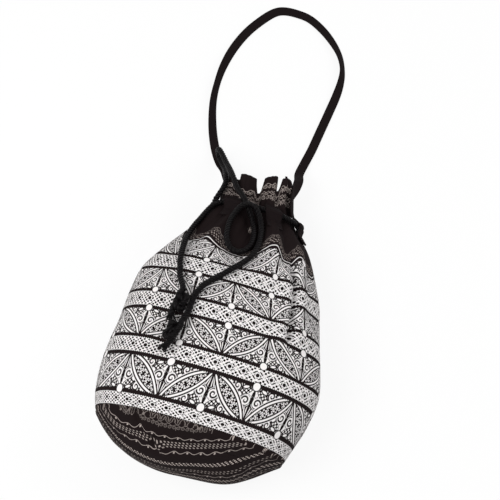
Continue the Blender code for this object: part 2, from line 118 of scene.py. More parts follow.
table_mesh = bpy.data.meshes.new("table")
builder = bmesh.new()
bmesh.ops.create_grid(builder, x_segments=1, y_segments=1, size=TABLE_SIZE / 2)
builder.to_mesh(table_mesh)
builder.free()
table = bpy.data.objects.new("table", table_mesh)
scene.collection.objects.link(table)
table_white = bpy.data.materials.new("table_white")
table_white.use_nodes = True
table_shader = table_white.node_tree.nodes["Principled BSDF"]
table_shader.inputs["Base Color"].default_value = TABLE_WHITE
table_shader.inputs["Roughness"].default_value = 0.9
table_mix = white_to_the_eye(table_white.node_tree, table_shader, TABLE_GLOW)
table_white.node_tree.links.new(
    table_mix.outputs[0], table_white.node_tree.nodes["Material Output"].inputs["Surface"]
)
table_mesh.materials.append(table_white)

# Neck and body shape. The lying body is a rounded oval that changes along its length, station by
# station: share of the length from hem to drawstring, fullness, crown, share pressed on the table,
# sideways lean. Pleats run down from the drawstring between ridges at fixed angles round the neck.
BODY_WIDTH = 0.263
BODY_TOP = 0.160
BODY_LENGTH = 0.303
HEM_Y = -0.140
FLOOR_PRESS = 0.012
NECK_WIDTH = 0.101
NECK_TOP = 0.082
NECK_LIFT = 0.014
FRILL_LENGTH = 0.040
FRILL_LOBE = 0.010
FRILL_SLANT = 0.009
SQUARENESS = 2.3
PLEAT_SPAN = 30
PLEAT_DEPTH = 0.0072
PLEAT_LENGTH = 0.170
PLEAT_RIDGES = (6, 34, 62, 133, 163, 196, 230, 262, 296, 331)
DRAW_Y = HEM_Y + BODY_LENGTH
RIM_Y = DRAW_Y + FRILL_LENGTH
STATIONS = np.array((
    (0.00, 0.80, 0.90, 0.85, -0.0035),
    (0.07, 0.885, 0.97, 1.00, -0.0035),
    (0.18, 0.97, 1.00, 1.00, -0.0002),
    (0.29, 1.00, 0.98, 1.00, 0.0022),
    (0.40, 0.945, 0.92, 1.00, 0.0012),
    (0.50, 0.89, 0.85, 1.00, -0.0020),
    (0.61, 0.82, 0.745, 1.00, -0.0050),
    (0.68, 0.735, 0.655, 0.98, -0.0035),
    (0.75, 0.61, 0.55, 0.90, -0.0015),
    (0.83, 0.44, 0.42, 0.70, 0.0020),
    (0.89, 0.305, 0.295, 0.49, 0.0030),
    (0.96, 0.13, 0.12, 0.17, 0.0000),
    (1.00, 0.03, 0.02, 0.03, -0.0015),
    (1.08, -0.08, 0.00, 0.00, -0.0045),
    (1.16, -0.12, 0.00, 0.00, -0.0060),
))


def ease(share):
    share = np.clip(share, 0, 1)
    return share * share * (3 - 2 * share)


def bump(value, middle, width):
    """1 at the middle, falling smoothly to 0 a few widths away."""
    return np.exp(-(((value - middle) / width) ** 2))


def section(y):
    """Centre x and z and half-axes of the bag's cross-section at y."""
    share = (np.asarray(y, float) - HEM_Y) / BODY_LENGTH
    index = np.clip(np.searchsorted(STATIONS[:, 0], share) - 1, 0, len(STATIONS) - 2)
    before = STATIONS[np.maximum(index - 1, 0)]
    start = STATIONS[index]
    end = STATIONS[index + 1]
    after = STATIONS[np.minimum(index + 2, len(STATIONS) - 1)]
    span = end[..., :1] - start[..., :1]
    part = (share[..., None] - start[..., :1]) / span
    slope_in = (end - before) / (end[..., :1] - before[..., :1]) * span
    slope_out = (after - start) / (after[..., :1] - start[..., :1]) * span
    rise = end - start
    found = start + slope_in * part + (3 * rise - 2 * slope_in - slope_out) * part**2
    found += (slope_in + slope_out - 2 * rise) * part**3
    half_width = (NECK_WIDTH + (BODY_WIDTH - NECK_WIDTH) * found[..., 1]) / 2
    top = NECK_TOP + (BODY_TOP - NECK_TOP) * found[..., 2]
    underside = NECK_LIFT - (FLOOR_PRESS + NECK_LIFT) * found[..., 3]
    return found[..., 4], (top + underside) / 2, half_width, (top - underside) / 2


def oval(half_width, half_height, angle):
    """How far the rounded oval lies from its centre at an angle."""
    across = np.abs(np.cos(angle)) / half_width
    upward = np.abs(np.sin(angle)) / half_height
    return (across**SQUARENESS + upward**SQUARENESS) ** (-1 / SQUARENESS)


def pleat(angle):
    """How far down a pleat an angle lies, from 0 on a ridge to 1 in the valley, and the pleat's width."""
    degrees = np.degrees(angle) % 360
    ridges = np.array([PLEAT_RIDGES[-1] - 360, *PLEAT_RIDGES, PLEAT_RIDGES[0] + 360], float)
    index = np.clip(np.searchsorted(ridges, degrees, side="right") - 1, 0, len(ridges) - 2)
    width = ridges[index + 1] - ridges[index]
    part = (degrees - ridges[index]) / width
    return (1 - np.cos(2 * np.pi * part)) / 2, width


def valley(angle):
    """How deep the pleats lie at an angle round the neck: 0 on a ridge."""
    share, width = pleat(angle)
    return PLEAT_DEPTH * width / PLEAT_SPAN * share


def envelope(angle, y):
    """Points on the ridges of the pleats, where what is sewn to the bag lies."""
    x, z, half_width, half_height = section(y)
    radius = oval(half_width, half_height, angle)
    return np.stack([x + radius * np.cos(angle), y + 0 * radius, z + radius * np.sin(angle)], -1)


def envelope_normal(angle, y):
    along = envelope(angle + 0.01, y) - envelope(angle - 0.01, y)
    out = np.stack([along[..., 2], 0 * along[..., 1], -along[..., 0]], -1)
    return out / np.linalg.norm(out, axis=-1, keepdims=True)


# Twisted drawstring. Three black strands laid round each other, 7.8 mm across, in one length: from the
# left knot up to the neck, round the neck under the tabs, out in a slack bight beside the strap, and
# back in two loops to the right knot.
CORD_DIAMETER = 0.0078
CORD_SEAT = 0.0016
STRAND_RADIUS = 0.00185
STRAND_OFFSET = CORD_DIAMETER / 2 - STRAND_RADIUS
CORD_LAY = 0.0135
CORD_STEP = 0.0015
CORD_BLACK = (0.004, 0.003, 0.004, 1)
CORD_DARKEST = (0.0015, 0.0012, 0.0014)
CORD_LIGHTEST = (0.0060, 0.0050, 0.0055)
RING_START = 150
RING_END = -190
LEFT_ROUTE = (
    (-0.0489, 0.1624, 0.0751),
    (-0.0550, 0.1586, 0.0736),
    (-0.0600, 0.1510, 0.0760),
    (-0.0642, 0.1405, 0.0794),
    (-0.0682, 0.1275, 0.0855),
    (-0.0720, 0.1145, 0.0934),
    (-0.0756, 0.0955, 0.1048),
    (-0.0760, 0.0780, 0.1174),
    (-0.0744, 0.0580, 0.1306),
    (-0.0708, 0.0420, 0.1378),
    (-0.0675, 0.0310, 0.1424),
    (-0.0640, 0.0235, 0.1478),
    (-0.0606, 0.0166, 0.1536),
    (-0.0591, 0.0130, 0.1552),
    (-0.0587, 0.0104, 0.1556),
)
SLACK_ROUTE = (
    (-0.0580, 0.1636, 0.0608),
    (-0.0576, 0.1665, 0.0670),
    (-0.0550, 0.1735, 0.0715),
    (-0.0525, 0.1825, 0.0715),
    (-0.0515, 0.1930, 0.0698),
    (-0.0535, 0.2040, 0.0632),
    (-0.0565, 0.2140, 0.0505),
    (-0.0580, 0.2225, 0.0385),
    (-0.0615, 0.2300, 0.0290),
    (-0.0660, 0.2375, 0.0220),
    (-0.0705, 0.2440, 0.0190),
    (-0.0740, 0.2490, 0.0215),
    (-0.0755, 0.2510, 0.0290),
    (-0.0740, 0.2490, 0.0370),
    (-0.0695, 0.2430, 0.0425),
    (-0.0635, 0.2340, 0.0480),
    (-0.0575, 0.2240, 0.0555),
    (-0.0515, 0.2130, 0.0670),
    (-0.0450, 0.2005, 0.0785),
    (-0.0390, 0.1890, 0.0850),
    (-0.0345, 0.1815, 0.0880),
)
RIGHT_ROUTE = (
    (-0.0343, 0.1803, 0.0890),
    (-0.0260, 0.1725, 0.0930),
    (-0.0185, 0.1630, 0.0968),
    (-0.0120, 0.1540, 0.0950),
    (-0.0035, 0.1415, 0.0935),
    (0.0022, 0.1240, 0.1038),
    (0.0026, 0.1030, 0.1162),
    (-0.0060, 0.0885, 0.1220),
    (-0.0190, 0.0880, 0.1228),
    (-0.0275, 0.0995, 0.1194),
    (-0.0305, 0.1160, 0.1130),
    (-0.0298, 0.1340, 0.1046),
    (-0.0255, 0.1490, 0.1020),
    (-0.0190, 0.1568, 0.1039),
    (-0.0090, 0.1585, 0.1026),
    (0.0005, 0.1510, 0.0998),
    (0.0070, 0.1385, 0.1008),
    (0.0106, 0.1240, 0.1064),
    (0.0113, 0.1045, 0.1184),
    (0.0076, 0.0860, 0.1274),
    (-0.0008, 0.0725, 0.1312),
    (-0.0105, 0.0600, 0.1358),
    (-0.0240, 0.0425, 0.1430),
    (-0.0370, 0.0265, 0.1482),
    (-0.0435, 0.0115, 0.1510),
    (-0.0450, -0.0030, 0.1530),
    (-0.0460, -0.0160, 0.1566),
    (-0.0474, -0.0225, 0.1602),
    (-0.0486, -0.0265, 0.1619),
    (-0.0495, -0.0301, 0.1626),
)


def new_material(name, colour, roughness, specular):
    """A material whose Principled shader has its plain values on its own sockets."""
    material = bpy.data.materials.new(name)
    material.use_nodes = True
    shader = material.node_tree.nodes["Principled BSDF"]
    shader.inputs["Base Color"].default_value = colour
    shader.inputs["Roughness"].default_value = roughness
    shader.inputs["Specular IOR Level"].default_value = specular
    return material, material.node_tree, shader


def add_bump(tree, shader, height, distance, strength):
    """Lets a height change the way a shader's surface faces."""
    node = tree.nodes.new("ShaderNodeBump")
    node.inputs["Distance"].default_value = distance
    node.inputs["Strength"].default_value = strength
    tree.links.new(height, node.inputs["Height"])
    tree.links.new(node.outputs["Normal"], shader.inputs["Normal"])


cord_black, cord_tree, cord_shader = new_material("cord_black", CORD_BLACK, 0.38, 0.09)
cord_place = cord_tree.nodes.new("ShaderNodeTexCoord")
cord_fibres = cord_tree.nodes.new("ShaderNodeTexNoise")
cord_fibres.inputs["Scale"].default_value = 1400
cord_fibres.inputs["Detail"].default_value = 3
cord_tree.links.new(cord_place.outputs["Object"], cord_fibres.inputs["Vector"])
cord_tint = cord_tree.nodes.new("ShaderNodeMapRange")
cord_tint.data_type = "FLOAT_VECTOR"
cord_tint.inputs[9].default_value = CORD_DARKEST
cord_tint.inputs[10].default_value = CORD_LIGHTEST
cord_tree.links.new(cord_fibres.outputs["Color"], cord_tint.inputs["Vector"])
cord_tree.links.new(cord_tint.outputs["Vector"], cord_shader.inputs["Base Color"])
add_bump(cord_tree, cord_shader, cord_fibres.outputs["Fac"], 0.0004, 0.6)


def curve_through(row, parts):
    """The smooth curve (Catmull-Rom) through a row of points, without its last point."""
    full = np.vstack([row[:1], row, row[-1:]])
    fine = []
    for index in range(len(row) - 1):
        p0, p1, p2, p3 = full[index:index + 4]
        bend = 2 * p0 - 5 * p1 + 4 * p2 - p3
        twist = 3 * (p1 - p2) + p3 - p0
        for part in np.linspace(0, 1, parts, endpoint=False):
            fine.append(0.5 * (2 * p1 + (p2 - p0) * part + bend * part**2 + twist * part**3))
    return np.array(fine)


def reach_along(line):
    """How far each point of a line lies along it."""
    return np.concatenate([[0], np.cumsum(np.linalg.norm(np.diff(line, axis=0), axis=1))])


def smooth_line(points, step):
    """Points at even steps along the smooth curve through a row of points."""
    row = np.array(points, float)
    fine = np.vstack([curve_through(row, 24), row[-1:]])
    reach = reach_along(fine)
    count = max(2, round(reach[-1] / step) + 1)
    even = np.linspace(0, reach[-1], count)
    return np.stack([np.interp(even, reach, fine[:, axis]) for axis in range(3)], -1)


def turned_frames(line):
    """Two sideways directions at each point of a line that turn with it and don't spin."""
    ahead = np.gradient(line, axis=0)
    ahead /= np.linalg.norm(ahead, axis=1, keepdims=True)
    side = np.cross(ahead[0], (0.31, 0.17, 0.93))
    sides = []
    for direction in ahead:
        side = side - direction * side.dot(direction)
        side /= np.linalg.norm(side)
        sides.append(side)
    sides = np.array(sides)
    return sides, np.cross(ahead, sides)


def tubes(name, lines, radius, material, sides=2):
    """One mesh of round tubes along several lines."""
    curve = bpy.data.curves.new(name, "CURVE")
    curve.dimensions = "3D"
    curve.bevel_depth = radius
    curve.bevel_resolution = sides
    curve.use_fill_caps = True
    for line in lines:
        spline = curve.splines.new("POLY")
        spline.points.add(len(line) - 1)
        flat = np.concatenate([line, np.ones((len(line), 1))], axis=1)
        spline.points.foreach_set("co", flat.ravel())
    source = bpy.data.objects.new(name + "_line", curve)
    scene.collection.objects.link(source)
    bpy.context.view_layer.update()
    mesh = bpy.data.meshes.new_from_object(source.evaluated_get(bpy.context.evaluated_depsgraph_get()))
    bpy.data.objects.remove(source)
    mesh.name = name
    mesh.materials.clear()
    mesh.materials.append(material)
    mesh.shade_smooth()
    piece = bpy.data.objects.new(name, mesh)
    scene.collection.objects.link(piece)
    return piece


def rope(name, line):
    """Three strands laid round a line."""
    side, upper = turned_frames(line)
    reach = reach_along(line)
    strands = []
    for strand in range(3):
        turn = 2 * np.pi * (reach / CORD_LAY + strand / 3)
        out = side * np.cos(turn)[:, None] + upper * np.sin(turn)[:, None]
        strands.append(line + out * STRAND_OFFSET)
    return tubes(name, strands, STRAND_RADIUS, cord_black)


ring_angles = np.radians(np.linspace(RING_START, RING_END, 120))
ring_line = envelope(ring_angles, np.full_like(ring_angles, DRAW_Y))
ring_line = ring_line + envelope_normal(ring_angles, DRAW_Y) * (CORD_DIAMETER / 2 + CORD_SEAT)
neck_rope = rope("rope_neck", smooth_line(ring_line, CORD_STEP))
left_line = smooth_line(LEFT_ROUTE, CORD_STEP)
left_rope = rope("rope_left", left_line)
right_line = smooth_line(SLACK_ROUTE + RIGHT_ROUTE[1:], CORD_STEP)
right_rope = rope("rope_right", right_line)

# Knots. Each end of the drawstring is tied in one overhand knot, and what is left past it is frayed
# into its yarns.
KNOT_SCALE = 0.0034
KNOT_HALF = 0.013
KNOT_TAIL = 0.006
KNOT_OPENING = 0.75
KNOT_DEPTH = 0.9
FRAY_LENGTH = 0.007
FRAY_DROP = 0.25
FRAY_YARNS = 46
FRAY_RADIUS = 0.00042
KNOTS = (
    ("left", (-0.0605, -0.0035, 0.1556), 262, 1),
    ("right", (-0.0535, -0.0430, 0.1626), 253, -1),
)


def overhand(seat, lie, hand):
    """The line of an overhand knot with its way through along the lie: a trefoil cut at one lobe."""
    turn = np.linspace(np.pi + KNOT_OPENING, 3 * np.pi - KNOT_OPENING, 30)
    ahead = -(np.sin(turn) + 2 * np.sin(2 * turn)) * KNOT_SCALE
    aside = (np.cos(turn) - 2 * np.cos(2 * turn) + 0.4) * KNOT_SCALE * hand
    upward = -np.sin(3 * turn) * KNOT_SCALE * KNOT_DEPTH
    lead_in = [(-KNOT_HALF - 0.001, 0, 0), (-KNOT_HALF + 0.003, -0.002 * hand, 0.0005)]
    lead_out = [(KNOT_HALF - 0.003, -0.002 * hand, -0.0005), (KNOT_HALF + KNOT_TAIL, 0, -0.001)]
    local = np.array([*lead_in, *zip(ahead, aside, upward), *lead_out])
    forward = np.array((math.cos(lie), math.sin(lie), 0))
    sideways = np.array((-math.sin(lie), math.cos(lie), 0))
    placed = local[:, :1] * forward + local[:, 1:2] * sideways + local[:, 2:] * np.array((0, 0, 1))
    return placed + np.array(seat)


def frayed_end(name, line, seed):
    """Loose yarns that fan out from the cut end of the cord."""
    chance = np.random.default_rng(seed)
    ahead = line[-1] - line[-3]
    ahead /= np.linalg.norm(ahead)
    side, upper = turned_frames(line[-3:])
    steps = np.linspace(0, 1, 6)[:, None]
    yarns = []
    for _ in range(FRAY_YARNS):
        turn = chance.uniform(0, 2 * np.pi)
        out = side[-1] * math.cos(turn) + upper[-1] * math.sin(turn)
        start = line[-1] - ahead * 0.0015 + out * CORD_DIAMETER / 2 * math.sqrt(chance.uniform(0, 0.8))
        spread = out * chance.uniform(0.05, 0.75) + chance.normal(0, 0.12, 3)
        reach = FRAY_LENGTH * chance.uniform(0.55, 1.0)
        drop = np.array((0, 0, -FRAY_DROP)) * reach * steps**2
        yarns.append(start + ahead * reach * steps + spread * reach * steps**1.5 + drop)
    return tubes(name, yarns, FRAY_RADIUS, cord_black, sides=0)


knot_pieces = {}
for side_name, knot_seat, knot_lie, knot_hand in KNOTS:
    knot_line = smooth_line(overhand(knot_seat, math.radians(knot_lie), knot_hand), CORD_STEP)
    knot_rope = rope("knot_rope_" + side_name, knot_line)
    fray = frayed_end("fray_" + side_name, knot_line, seed=len(side_name))
    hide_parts("knot_" + side_name)
    knot_pieces[side_name] = (knot_rope, fray)
    for piece in knot_pieces[side_name]:
        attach(piece, "root")

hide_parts("drawstring_neck")
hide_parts("drawstring_left")
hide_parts("drawstring_slack", "drawstring_right")
for piece in (neck_rope, left_rope, right_rope):
    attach(piece, "root")

# Printed cloth. Light cotton printed white on brown-black, sewn from two halves with a seam down each
# side, hemmed round the base and gathered at the neck into a frill. The print is white filigree in bands.
CLOTH_THICKNESS = 0.0016
CLOTH_COLUMNS = 200
CLOTH_ROWS = 220
BASE_TURN = 0.020
BASE_BULGE = 0.041
BASE_LEAN = 0.35
BASE_CURVE = 2.4
# The base hangs out most at the lower right: how far, and where on it, across and upward.
BASE_SAG = 0.013
SAG_PLACE = (0.62, -0.30)
SAG_SPREAD = 0.40
# The frill's edge is notched over each pleat but two, rises in a tip on the right and flares out on the
# left, under the strap. Each place is an angle round the neck and its spread in degrees.
NOTCH_START = 0.70
FILLED_LEFT = (148, 17)
FILLED_RIGHT = (14, 18)
TIP_PLACE = (23, 17)
TIP_RISE = 0.007
FLARE_PLACE = (170, 18)
FLARE_REACH = 0.0035
SIDE_FULLNESS = 0.75
# Soft swellings all over, and crumples that grow towards the neck: how far each stands out, how close
# they are round and along the bag, and the seed of their noise.
SWELLING = 0.0024
CRUMPLES = (
    (0.0026, 5.2, 9, 2),
    (0.0012, 13, 16, 3),
)
# Small forms on the front: how far each stands out, its place round the bag and its width there, and its
# place along the bag from the hem and its width there. The crease runs a little aslant.
PUCKER = (0.0070, 0.068, 0.015, 0.128, 0.010)
DIP = (-0.0060, -0.062, 0.016, 0.098, 0.030)
CREASE = (-0.0050, -0.076, 0.0045, 0.004, 0.018)
CREASE_SLANT = 0.1
# The tuck on the right: where it runs, how far it winds, how deep and how wide it is, and the rolls of
# cloth that bulge to its left and right.
TUCK_PLACE = 0.080
TUCK_FOOT = 0.122
TUCK_HEAD = 0.262
TUCK_WINDING = 0.010
TUCK_DEPTH = 0.0100
TUCK_WIDTH = 0.0042
TUCK_LEFT_ROLL = (0.0050, 0.014, 0.011)
TUCK_RIGHT_ROLL = (0.0025, 0.014, 0.010)
SEAM_GAP = 0.00015
SEAM_GROOVE = 0.0006
HEM_GROOVE = 0.0009
HEM_LINE = (0.0022, 0.0016)
FLOOR_GAP = 0.0003
PRINT_BLACK = (0.0082, 0.0054, 0.0055)
PRINT_WHITE = (0.79, 0.765, 0.76)
PRINT_CREAM = (0.56, 0.48, 0.44)
PRINT_PERIOD = 0.102
PRINT_START = 0.003
LACE_HEIGHT = 0.020
LACE_WAVE = 0.034
LACE_SWING = 0.0064
LACE_SHIFT = 0.0036
LACE_EDGE = 0.0088
LACE_LINE = 0.0014
LACE_DOT = 0.0023
LACE_RING = 0.0031
PETAL_HEIGHT = 0.040
PETAL_BULGE = 0.0083
STAR_APART = 0.0128
STAR_SIZE = 0.0026
STAR_RING = 0.0037
STAR_POINT = 0.0010
FAN_REACH = 0.0160
FAN_LEAN = 0.44
PRINT_FIELDS = 4
TOOTH_WIDTH = 0.0013
TOOTHED_LINE = 0.0034
DOT_LIFT = 0.0024
DOT_SIZE = 0.0041
DOT_RING = 0.0052
WEAVE_PERIOD = 0.0012
# Nets of small holes: how far apart the holes are, and how large.
LACE_NET = (0.0056, 0.00145)
PETAL_NET = (0.0043, 0.0013)
FIELD_NET = (0.0050, 0.0011)
# In the field between petals: two curls, each with its place, size and hand, the stalk of the inner one
# from its root, and leaves, each with its place, half length, half width and lean.
OUTER_CURL = (0.0212, 0.0068, 0.0054, -1)
INNER_CURL = (0.0073, 0.0182, 0.0058, 1)
STALK_ROOT = (0.0012, 0.0058)
STALK = Vector((0.0058, 0.0122))
STALK_LEAF = (0.0037, 0.0112, 0.0020, 0.0007, 1.13)
LEAVES = (
    (0.0310, 0.0042, 0.0036, 0.0013, -0.20),
    (0.0385, 0.0034, 0.0030, 0.0009, -0.15),
    (0.0112, 0.0054, 0.0032, 0.0013, 0.30),
    (0.0155, 0.0135, 0.0024, 0.0012, -0.70),
)
# The print's lines dip in the pleats of the neck, and lie lower on the left of its front.
SHIFT_FOOT = 0.200
SHIFT_HEAD = 0.268
PLEAT_SHIFT = 3.0
LEFT_SHIFT = 0.012
LEFT_SHIFT_PLACE = (127, 20)
# Where printed lines lie: length along the cloth from the hem, and the same line's place in the print.
PRINT_LINES = np.array((
    (-0.060, -0.065),
    (0.005, 0.0),
    (0.020, 0.020),
    (0.068, 0.060),
    (0.088, 0.080),
    (0.1275, 0.120),
    (0.148, 0.140),
    (0.183, 0.180),
    (0.205, 0.200),
    (0.250, 0.240),
    (0.350, 0.340),
))


def soft_noise(points, scale, seed):
    """Smooth noise from -1 to 1 at each point, the same on every run."""
    shift = Vector((seed * 7.3, seed * 3.1, seed * 5.7))
    flat = points.reshape(-1, 3) * scale
    values = [noise.noise(Vector(point) + shift) for point in flat]
    return np.array(values).reshape(points.shape[:-1])


def base_dome(angle, share, inset):
    """Points of the base: inset from the hem, then a share of the way out from the middle."""
    x, z, half_width, half_height = section(np.full_like(angle, HEM_Y))
    radius = oval(half_width - inset, half_height - inset, angle) * share
    spread = share * (half_width - inset) / half_width
    swell = BASE_BULGE * (1 - spread**BASE_CURVE) * (1 - BASE_LEAN * spread * np.cos(angle))
    sag_across = bump(spread * np.cos(angle), SAG_PLACE[0], SAG_SPREAD)
    sag_upward = bump(spread * np.sin(angle), SAG_PLACE[1], SAG_SPREAD)
    swell = swell + BASE_SAG * sag_across * sag_upward * (1 - spread**4)
    return np.stack([x + radius * np.cos(angle), HEM_Y - swell, z + radius * np.sin(angle)], -1)


def body_surface(angle, length):
    """Points of the printed cloth without its small folds; lengths below 0 lie on the base."""
    y = HEM_Y + length
    degrees = np.degrees(angle) % 360
    notch = ease((pleat(angle)[0] - NOTCH_START) / (1 - NOTCH_START))
    notch = notch * (1 - 0.85 * bump(degrees, *FILLED_LEFT))
    notch = notch * (1 - np.minimum(1, 1.4 * bump(degrees, *FILLED_RIGHT)))
    lobe = FRILL_LOBE * (1 - 2 * notch) + FRILL_SLANT * np.cos(angle)
    lobe = lobe + TIP_RISE * bump(degrees, *TIP_PLACE)
    frill = DRAW_Y + (RIM_Y + lobe - DRAW_Y) * (y - DRAW_Y) / FRILL_LENGTH
    y = np.where(y > DRAW_Y, frill, y)
    x, z, half_width, half_height = section(y)
    radius = oval(half_width, half_height, angle)
    growth = ease((y - DRAW_Y + PLEAT_LENGTH) / PLEAT_LENGTH)
    # At the two sides the neck is drawn in less, so that the cloth lies against the cord.
    radius = radius - growth * valley(angle) * (1 - SIDE_FULLNESS * np.cos(angle) ** 8)
    flare = FLARE_REACH * bump(degrees, *FLARE_PLACE)
    radius = radius + flare * ease((y - DRAW_Y - 0.004) / 0.016)
    side = np.stack([x + radius * np.cos(angle), y, z + radius * np.sin(angle)], -1)
    turned = base_dome(angle, np.ones_like(angle), np.clip(-length, 0, None))
    return np.where((length < 0)[..., None], turned, side)


def arc_table():
    """Angle round the bag against the distance round its fullest section, from the front's middle."""
    angles = np.radians(np.linspace(90, -270, 3601))
    half_width, half_height = (float(value) for value in section(HEM_Y + 0.29 * BODY_LENGTH)[2:])
    radius = oval(half_width, half_height, angles)
    steps = np.hypot(np.diff(radius * np.cos(angles)), np.diff(radius * np.sin(angles)))
    return angles, np.concatenate([[0], np.cumsum(steps)])


ARC_ANGLES, ARC_REACH = arc_table()


def round_place(angle):
    """Distance round the bag from the middle of its front: positive to the right."""
    turn = np.where(angle > np.pi / 2, np.pi - angle, angle)
    reach = np.interp(-turn, -ARC_ANGLES, ARC_REACH)
    return np.where(angle > np.pi / 2, -reach, reach)


def small_form(form, place, length):
    """How far the cloth stands out at one of the small forms on the front."""
    height, middle, width, from_hem, reach = form
    return height * bump(place, middle, width) * bump(length, from_hem, reach)


def small_folds(angle, length, place, points):
    """How far the cloth stands out of, or sinks into, the plain body."""
    height = SWELLING * soft_noise(points, 17, 1) * ease(length / 0.05)
    gathers = ease((length - 0.150) / 0.140)
    for depth, close_round, close_along, seed in CRUMPLES:
        crumple = np.stack([angle * close_round, length * close_along, 0 * angle], -1)
        height = height + depth * gathers * soft_noise(crumple, 1.0, seed)
    # A sharp tuck winds down the right of the front.
    tuck_line = TUCK_PLACE + TUCK_WINDING * np.sin((length - 0.13) * 26)
    tuck_reach = ease((length - TUCK_FOOT) / 0.02) * ease((TUCK_HEAD - length) / 0.05)
    tuck = -TUCK_DEPTH * bump(place, tuck_line, TUCK_WIDTH)
    for side, (roll, away, width) in ((-1, TUCK_LEFT_ROLL), (1, TUCK_RIGHT_ROLL)):
        tuck = tuck + roll * bump(place, tuck_line + side * away, width)
    # A pucker at the tuck's foot, a shallow dip under the knots and a crease on the left of the hem.
    forms = small_form(PUCKER, place, length) + small_form(DIP, place, length)
    forms = forms + small_form(CREASE, place + (length - 0.02) * CREASE_SLANT, length)
    front = np.sin(angle) > 0.2
    return height + np.where(front, tuck * tuck_reach + forms, 0)


def grid_piece(name, columns, rows, place_points, material, weld=False, closed_ends=False):
    """A grid whose points and places on the cloth are given by a function of shares across and along."""
    builder = bmesh.new()
    bmesh.ops.create_grid(builder, x_segments=columns, y_segments=rows, size=0.5)
    builder.verts.ensure_lookup_table()
    shares = np.array([vertex.co[:2] for vertex in builder.verts]) + 0.5
    across = np.round(shares[:, 0] * columns).astype(int)
    along = np.round(shares[:, 1] * rows).astype(int)
    points, *places = place_points(
        np.linspace(0, 1, columns + 1)[None, :].repeat(rows + 1, 0),
        np.linspace(0, 1, rows + 1)[:, None].repeat(columns + 1, 1),
    )
    layers = [builder.loops.layers.uv.new(layer) for layer in ("cloth", "rows")[:len(places)]]
    for vertex, column, row in zip(builder.verts, across, along):
        vertex.co = points[row, column]
        for loop in vertex.link_loops:
            for layer, place in zip(layers, places):
                loop[layer].uv = place[row, column]
    if weld:
        bmesh.ops.remove_doubles(builder, verts=builder.verts, dist=1e-6)
    if closed_ends:
        rims = [edge for edge in builder.edges if edge.is_boundary]
        bmesh.ops.holes_fill(builder, edges=rims)
        bmesh.ops.recalc_face_normals(builder, faces=builder.faces)
    mesh = bpy.data.meshes.new(name)
    builder.to_mesh(mesh)
    builder.free()
    mesh.materials.append(material)
    mesh.shade_smooth()
    piece = bpy.data.objects.new(name, mesh)
    scene.collection.objects.link(piece)
    return piece


def thicken(piece, thickness, inner_material=None):
    """Gives a sheet its thickness, inwards."""
    if inner_material:
        piece.data.materials.append(inner_material)
    modifier = piece.modifiers.new("thickness", "SOLIDIFY")
    modifier.thickness = thickness
    modifier.offset = -1
    modifier.material_offset = 1 if inner_material else 0


class Drawn:
    """A number that a material works out at each point. Sums and products of these add Math nodes."""

    tree = None

    def __init__(self, socket):
        self.socket = socket

    @classmethod
    def do(cls, operation, *values, clamp=False):
        node = cls.tree.nodes.new("ShaderNodeMath")
        node.operation = operation
        node.use_clamp = clamp
        for index, value in enumerate(values):
            if isinstance(value, Drawn):
                cls.tree.links.new(value.socket, node.inputs[index])
            else:
                node.inputs[index].default_value = value
        return cls(node.outputs[0])

    def __add__(self, other):
        return Drawn.do("ADD", self, other)

    __radd__ = __add__

    def __sub__(self, other):
        return Drawn.do("SUBTRACT", self, other)

    def __rsub__(self, other):
        return Drawn.do("SUBTRACT", other, self)

    def __mul__(self, other):
        return Drawn.do("MULTIPLY", self, other)

    __rmul__ = __mul__

    def __truediv__(self, other):
        return Drawn.do("DIVIDE", self, other)

    def __abs__(self):
        return Drawn.do("ABSOLUTE", self)


def over(first, second):
    return Drawn.do("MAXIMUM", first, second)


def within(first, second):
    return Drawn.do("MULTIPLY", first, second)


def without(first, second):
    return Drawn.do("MULTIPLY", first, 1 - second)


def inside(depth, edge=0.0004):
    """1 where a depth is above 0, with an edge as soft as ink on cotton."""
    return Drawn.do("MULTIPLY_ADD", depth, 1 / edge, 0.5, clamp=True)


def stroke(distance, width):
    """A drawn line of that width where the distance is 0."""
    return inside(width / 2 - abs(distance))


def reach_from(x, y, at_x, at_y):
    return Drawn.do("SQRT", Drawn.do("MULTIPLY_ADD", x - at_x, x - at_x, (y - at_y) * (y - at_y)))


def folded(value, half):
    """Runs up and down between 0 and half."""
    return Drawn.do("PINGPONG", value, half)


def coil(x, y, at_x, at_y, radius, hand):
    """A white spiral of a little more than one turn and a half."""
    from_middle = reach_from(x, y, at_x, at_y)
    turn = Drawn.do("ARCTAN2", y - at_y, (x - at_x) * hand) / (2 * math.pi)
    line = inside(Drawn.do("FRACT", from_middle / (radius * 0.62) - turn) - 0.52, 0.3)
    line = over(line, inside(radius * 0.15 - from_middle))
    return line, from_middle - radius


def net(x, y, size, hole):
    """White ground with small black holes in staggered rows."""
    near = reach_from(folded(x, size / 2), folded(y, size * 0.43), 0, 0)
    between = reach_from(folded(x + size / 2, size / 2), folded(y + size * 0.43, size * 0.43), 0, 0)
    return inside(Drawn.do("MINIMUM", near, between) - hole)


def leaf(x, y, at_x, at_y, half_length, half_width, lean):
    """How deep a point lies in an oval leaf."""
    along = (x - at_x) * math.cos(lean) + (y - at_y) * math.sin(lean)
    beside = (y - at_y) * math.cos(lean) - (x - at_x) * math.sin(lean)
    return half_width - reach_from(along * (half_width / half_length), beside, 0, 0)


